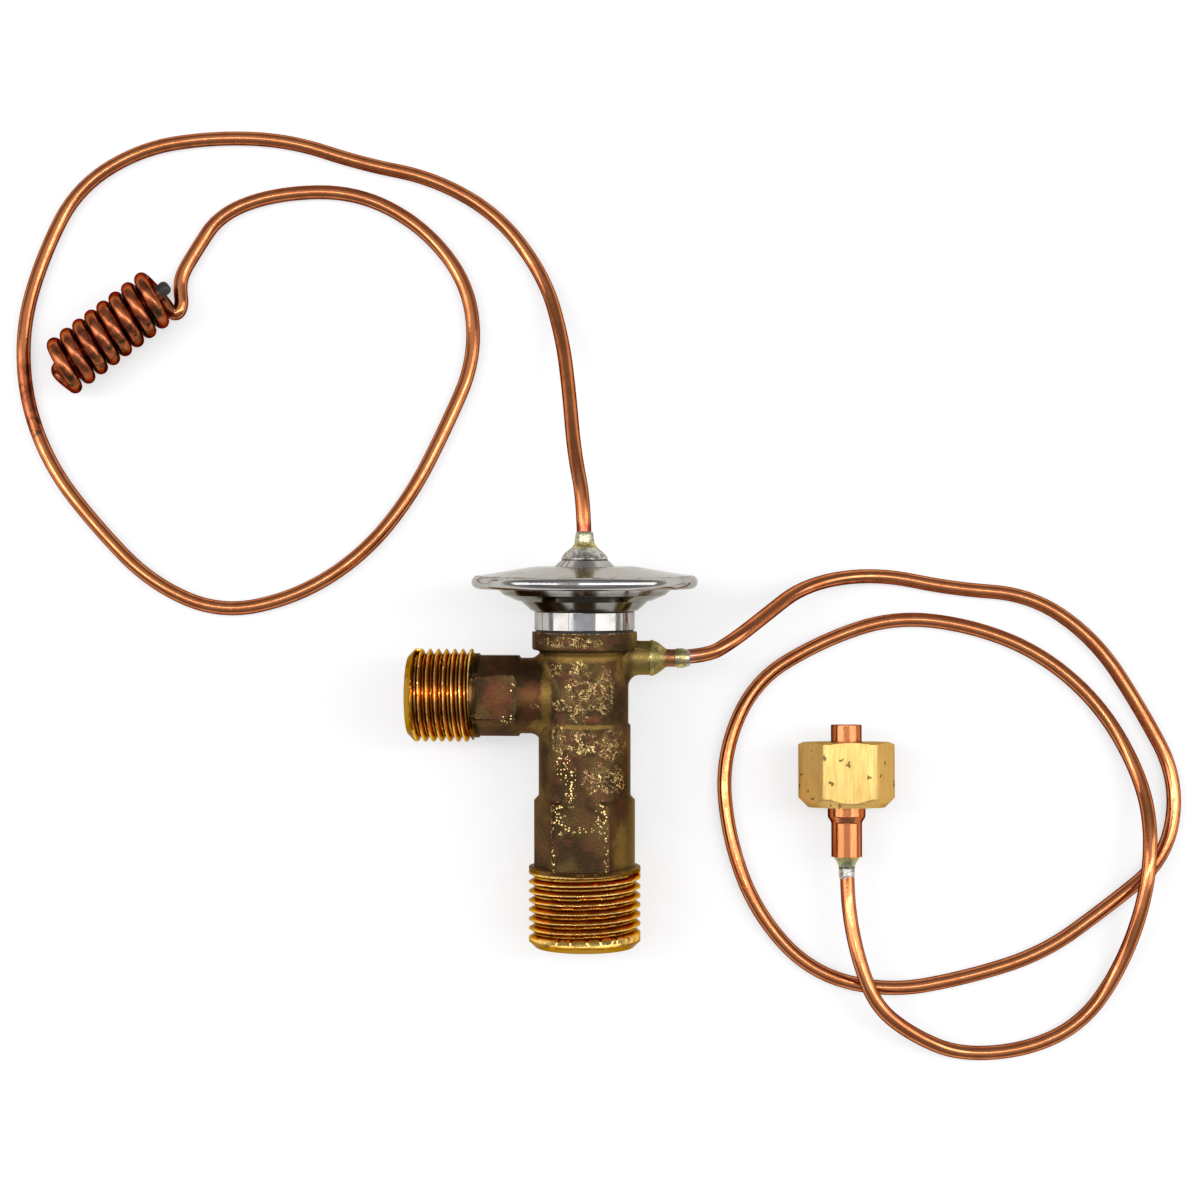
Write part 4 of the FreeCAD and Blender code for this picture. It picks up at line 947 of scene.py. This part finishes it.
def brazePaint(name, axes, coordinate, stops, rusty):
    # stops name the tone at each place along the piece
    paint, tree, shader, place = newPaint(name, silverBraze["edgeTint"])
    own = placed(tree, axes, {"Place": place})
    low, high = stops[0][0], stops[-1][0]
    share = fade(tree, own[coordinate], low, high)
    linear = addNode(tree, "ShaderNodeMapRange", {
        "Value": sums(tree, "MULTIPLY_ADD", noisy(tree, own["Own"], 1.2, 3.0), 0.7,
                      sums(tree, "SUBTRACT", own[coordinate], 0.35)),
        "From Min": low, "From Max": high,
    })
    tones = [((at - low) / (high - low), silverBraze[tone]) for at, tone in stops]
    colour = ramped(tree, linear.outputs[0], tones)
    dark = clouded(tree, own["Own"], silverBraze["darkened"])
    colour = mixed(tree, times(tree, dark, 0.8), colour, silverBraze["grey"])
    if rusty:
        spots = clouded(tree, own["Own"], silverBraze["rusted"])
        colour = mixed(tree, times(tree, spots, fade(tree, share, 0.45, 0.1)),
                       colour, silverBraze["rust"])
    dress(tree, shader, colour, 0.95, fade(tree, dark, 0.0, 1.0, 0.24, 0.45))
    bumped(tree, shader, noisy(tree, own["Own"], 3.2, 5.0), *silverBraze["bump"])
    return paint


# yellow brass of the nut with drawn grain and pits
yellowBrass = {
    "drawn": (1.0, 1.0, 0.07),
    "brass": (0.90, 0.60, 0.205),
    "tan": (0.70, 0.44, 0.13),
    "shade": (0.36, 0.21, 0.055),
    "pitAndCornerShade": (0.10, 0.07, 0.03),
    "edgeTint": (0.8, 0.62, 0.38),
    # clouds: scale, detail, distortion, where the noise fades in, and from and to what
    "cloudy": (0.35, 3.0, 0.0, 0.45, 0.7, 0.0, 0.35),
    "pits": {"Scale": 0.62, "Size": 0.30, "Share": 0.6},
    "edges": {"Width": 0.0002, "Reach": 0.001},
    "bump": (0.3, 0.00006),
}


def nutPaint():
    paint, tree, shader, place = newPaint("yellowBrass", yellowBrass["edgeTint"])
    nut = placed(tree, nutAxes, {"Place": place})
    drawn = addNode(tree, "ShaderNodeMapping", {
        "Vector": nut["Own"], "Scale": yellowBrass["drawn"],
    }).outputs[0]
    grain = noisy(tree, drawn, 3.4, 5.0, 0.2, 0.7)
    colour = mixed(tree, fade(tree, grain, 0.42, 0.7), yellowBrass["brass"], yellowBrass["tan"])
    cloudy = clouded(tree, nut["Own"], yellowBrass["cloudy"])
    colour = mixed(tree, cloudy, colour, yellowBrass["tan"])
    colour = mixed(tree, times(tree, shadedSidesMask(tree), 0.8), colour, yellowBrass["shade"])
    bend = addNode(tree, "ShaderNodeTexNoise", {"Vector": nut["Own"], "Scale": 1.4, "Detail": 2.0})
    bent = vectors(tree, "MULTIPLY", bend.outputs["Color"], (1.3, 1.3, 1.3))
    bent = vectors(tree, "ADD", nut["Own"], bent)
    pits = placed(tree, smallPits, {"Place": bent, **yellowBrass["pits"]})
    colour = mixed(tree, times(tree, pits["Mask"], 0.85), colour, yellowBrass["pitAndCornerShade"])
    # painted shade in the corners, in the pits' dark colour
    rim = placed(tree, edgesAndCorners, yellowBrass["edges"])
    colour = mixed(tree, times(tree, rim["CornerShade"], 0.6), colour, yellowBrass["pitAndCornerShade"])
    dress(tree, shader, colour, 1.0, fade(tree, grain, 0.3, 0.7, 0.36, 0.46))
    height = sums(tree, "SUBTRACT", grain, pits["Mask"])
    bumped(tree, shader, height, *yellowBrass["bump"])
    return paint


# turned pieces inside the valve: rings from the lathe and a little stain
inner = {
    "brass": (0.76, 0.57, 0.26),
    "darkBrass": (0.48, 0.33, 0.13),
    "steel": (0.56, 0.55, 0.53),
    "darkSteel": (0.33, 0.31, 0.29),
    "duller": 0.12,
    # clouds: scale, detail, distortion, where the noise fades in, and from and to what
    "stained": (0.6, 4.0, 0.0, 0.45, 0.7),
    "bump": (0.25, 0.00005),
}


def innerPaint(name, colour, dark, rough):
    paint, tree, shader, place = newPaint(name)
    valve = placed(tree, valveAxes, {"Place": place})
    rings = noisy(tree, addNode(tree, "ShaderNodeCombineXYZ", {
        0: valve["Radius"], 2: valve["Along"]}).outputs[0], 4.0, 3.0)
    stain = clouded(tree, valve["Own"], inner["stained"])
    shine = fade(tree, rings, 0.3, 0.7, rough, rough + inner["duller"])
    dress(tree, shader, mixed(tree, stain, colour, dark), 1.0, shine)
    bumped(tree, shader, rings, *inner["bump"])
    return paint


sealed = {
    "dark": (0.012, 0.012, 0.012),
    "light": (0.035, 0.033, 0.03),
    "speck": 2500.0,
    "bump": (0.2, 0.00004),
}


def rubberPaint():
    paint, tree, shader, place = newPaint("sealRubber")
    speck = noisy(tree, place, sealed["speck"], 3.0)
    feed(tree, shader.inputs["Base Color"], mixed(tree, speck, sealed["dark"], sealed["light"]))
    feed(tree, shader.inputs["Roughness"], fade(tree, speck, 0.3, 0.7, 0.5, 0.7))
    bumped(tree, shader, speck, *sealed["bump"])
    return paint


# sealed end of the wound tube, grey brown and dull
tail = {
    "dark": (0.035, 0.028, 0.025),
    "light": (0.085, 0.065, 0.055),
    "noseFade": (-10.8, -11.6),
    "bump": (0.4, 0.0001),
}


def tailPaint():
    paint, tree, shader, place = newPaint("sealedEnd")
    own = placed(tree, coilAxes, {"Place": place})
    mottle = noisy(tree, own["Own"], 1.4, 4.0)
    nose = fade(tree, own["Along"], *tail["noseFade"])
    sooty = mixed(tree, mottle, tail["dark"], tail["light"])
    feed(tree, shader.inputs["Base Color"], mixed(tree, nose, copper["coilDeep"], sooty))
    feed(tree, shader.inputs["Metallic"], fade(tree, nose, 0.0, 1.0, 1.0, 0.35))
    feed(tree, shader.inputs["Roughness"], fade(tree, nose, 0.0, 1.0, 0.35, 0.5))
    bumped(tree, shader, mottle, *tail["bump"])
    return paint


agedBrass = agedBrassPaint()
steel = steelPaint()
tubeCopper = copperPaint("copperTube", valveAxes, (1.0, 1.0, 1.0))
ferruleCopper = copperPaint("copperFerrule", nutAxes, (6.0, 6.0, 0.35))
innerBrass = innerPaint("turnedBrass", inner["brass"], inner["darkBrass"], 0.24)
innerSteel = innerPaint("springSteel", inner["steel"], inner["darkSteel"], 0.22)
rubber = rubberPaint()
for piece in nodes.values():
    wear(piece, innerBrass)
for name in ("head_collar", "lower_housing", "upper_housing", "head_nipple"):
    wear(nodes[name], steel)
for name in ("valve_ball", "push_rod", "superheat_spring", "diaphragm"):
    wear(nodes[name], innerSteel)
for name in ("rod_seal", "head_gasket", "ferrule_seal"):
    wear(nodes[name], rubber)
wear(nodes["equalizer_stub"], portBrassPaint())
wear(nodes["equalizer_ferrule"], ferruleCopper)
wear(nodes["bulb_tail"], tailPaint())
wear(forging, agedBrass)
wear(pinSpring, innerSteel)
wear(unionNut, nutPaint())
wear(domeBraze, brazePaint("domeBraze", valveAxes, "Along", [
    (65.8, "silver"), (67.6, "silver"), (68.1, "yellow"), (68.5, "yellow"), (69.2, "pale"),
    (70.3, "pale")], True))
wear(portBraze, brazePaint("portBraze", valveAxes, "Across", [
    (15.4, "yellow"), (16.4, "thin"), (17.2, "yellow"), (17.7, "silver")], False))
wear(tailBraze, brazePaint("tailBraze", nutAxes, "Along", [
    (-12.2, "silver"), (-10.9, "silver"), (-10.4, "soot"), (-10.1, "pale"), (-9.3, "green"),
    (-8.5, "yellow")], False))
wear(capillaryTube, tubeCopper)
wear(equalizerTube, tubeCopper)
print("finishes made")

# floor, lamps and camera
studio = {
    "camera": Vector((8.247, -29.298, 439.95)) * mm,
    "tilt": 7.2,
    "lens": 75,
    "sensor": 36,
    "floorSize": 20,
    "floorColour": 0.5,
    "floorLift": 0.58,
    "aim": Vector((0, 0.02, 0)),
    "strip": {"aside": 0.36, "height": 0.85, "size": (0.06, 0.9), "power": 1.4},
    "panel": {"aside": 0.75, "height": 0.62, "size": (0.5, 0.9), "power": 2.7},
    "worldStops": [
        (0.0, (0.46, 0.46, 0.46)), (0.18, (0.30, 0.30, 0.31)), (0.5, (0.20, 0.20, 0.21)),
        (0.8, (0.38, 0.38, 0.39)), (0.95, (0.72, 0.72, 0.73)), (1.0, (0.74, 0.74, 0.75)),
    ],
}


def floorPaint():
    # a pale floor that keeps its shadows, lifted to white where it is seen or mirrored
    paint, tree, shader, place = newPaint("paleFloor")
    colour = studio["floorColour"]
    shader.inputs["Base Color"].default_value = (colour, colour, colour, 1)
    shader.inputs["Roughness"].default_value = 0.9
    shader.inputs["Specular IOR Level"].default_value = 0.0
    rays = tree.nodes.new("ShaderNodeLightPath")
    seen = sums(tree, "MAXIMUM", rays.outputs["Is Camera Ray"], rays.outputs["Is Glossy Ray"])
    seen = sums(tree, "MAXIMUM", seen, rays.outputs["Is Transmission Ray"])
    shader.inputs["Emission Color"].default_value = (1, 1, 1, 1)
    feed(tree, shader.inputs["Emission Strength"], times(tree, seen, studio["floorLift"]))
    return paint


bpy.ops.mesh.primitive_plane_add(size=studio["floorSize"], location=(0, 0, 0))
floor = bpy.context.active_object
floor.name = "floor"
wear(floor, floorPaint())
cameraData = bpy.data.cameras.new("camera")
cameraData.lens = studio["lens"]
cameraData.sensor_width = studio["sensor"]
camera = added("camera", cameraData)
camera.location = studio["camera"]
camera.rotation_euler = (math.radians(studio["tilt"]), 0, 0)
bpy.context.scene.camera = camera


def addLamp(name, place, aim, size, power):
    data = bpy.data.lights.new(name, "AREA")
    data.shape = "RECTANGLE"
    data.size, data.size_y = size
    data.energy = power
    lamp = added(name, data)
    lamp.location = place
    lamp.rotation_euler = (aim - place).to_track_quat("-Z", "Y").to_euler()


for side, sideName in ((-1, "Left"), (1, "Right")):
    for kind in ("strip", "panel"):
        lamp = studio[kind]
        place = studio["aim"] + Vector((side * lamp["aside"], 0, lamp["height"]))
        addLamp(kind + sideName, place, studio["aim"], lamp["size"], lamp["power"])
world = bpy.data.worlds.new("world")
bpy.context.scene.world = world
world.use_nodes = True
sky = world.node_tree
toward = sky.nodes.new("ShaderNodeTexCoord").outputs["Generated"]
upward = addNode(sky, "ShaderNodeSeparateXYZ", {0: toward}).outputs["Z"]
feed(sky, sky.nodes["Background"].inputs["Color"], ramped(sky, upward, studio["worldStops"]))
sky.nodes["Background"].inputs["Strength"].default_value = 1.0
bpy.context.scene.view_settings.view_transform = "Standard"
print("studio ready")
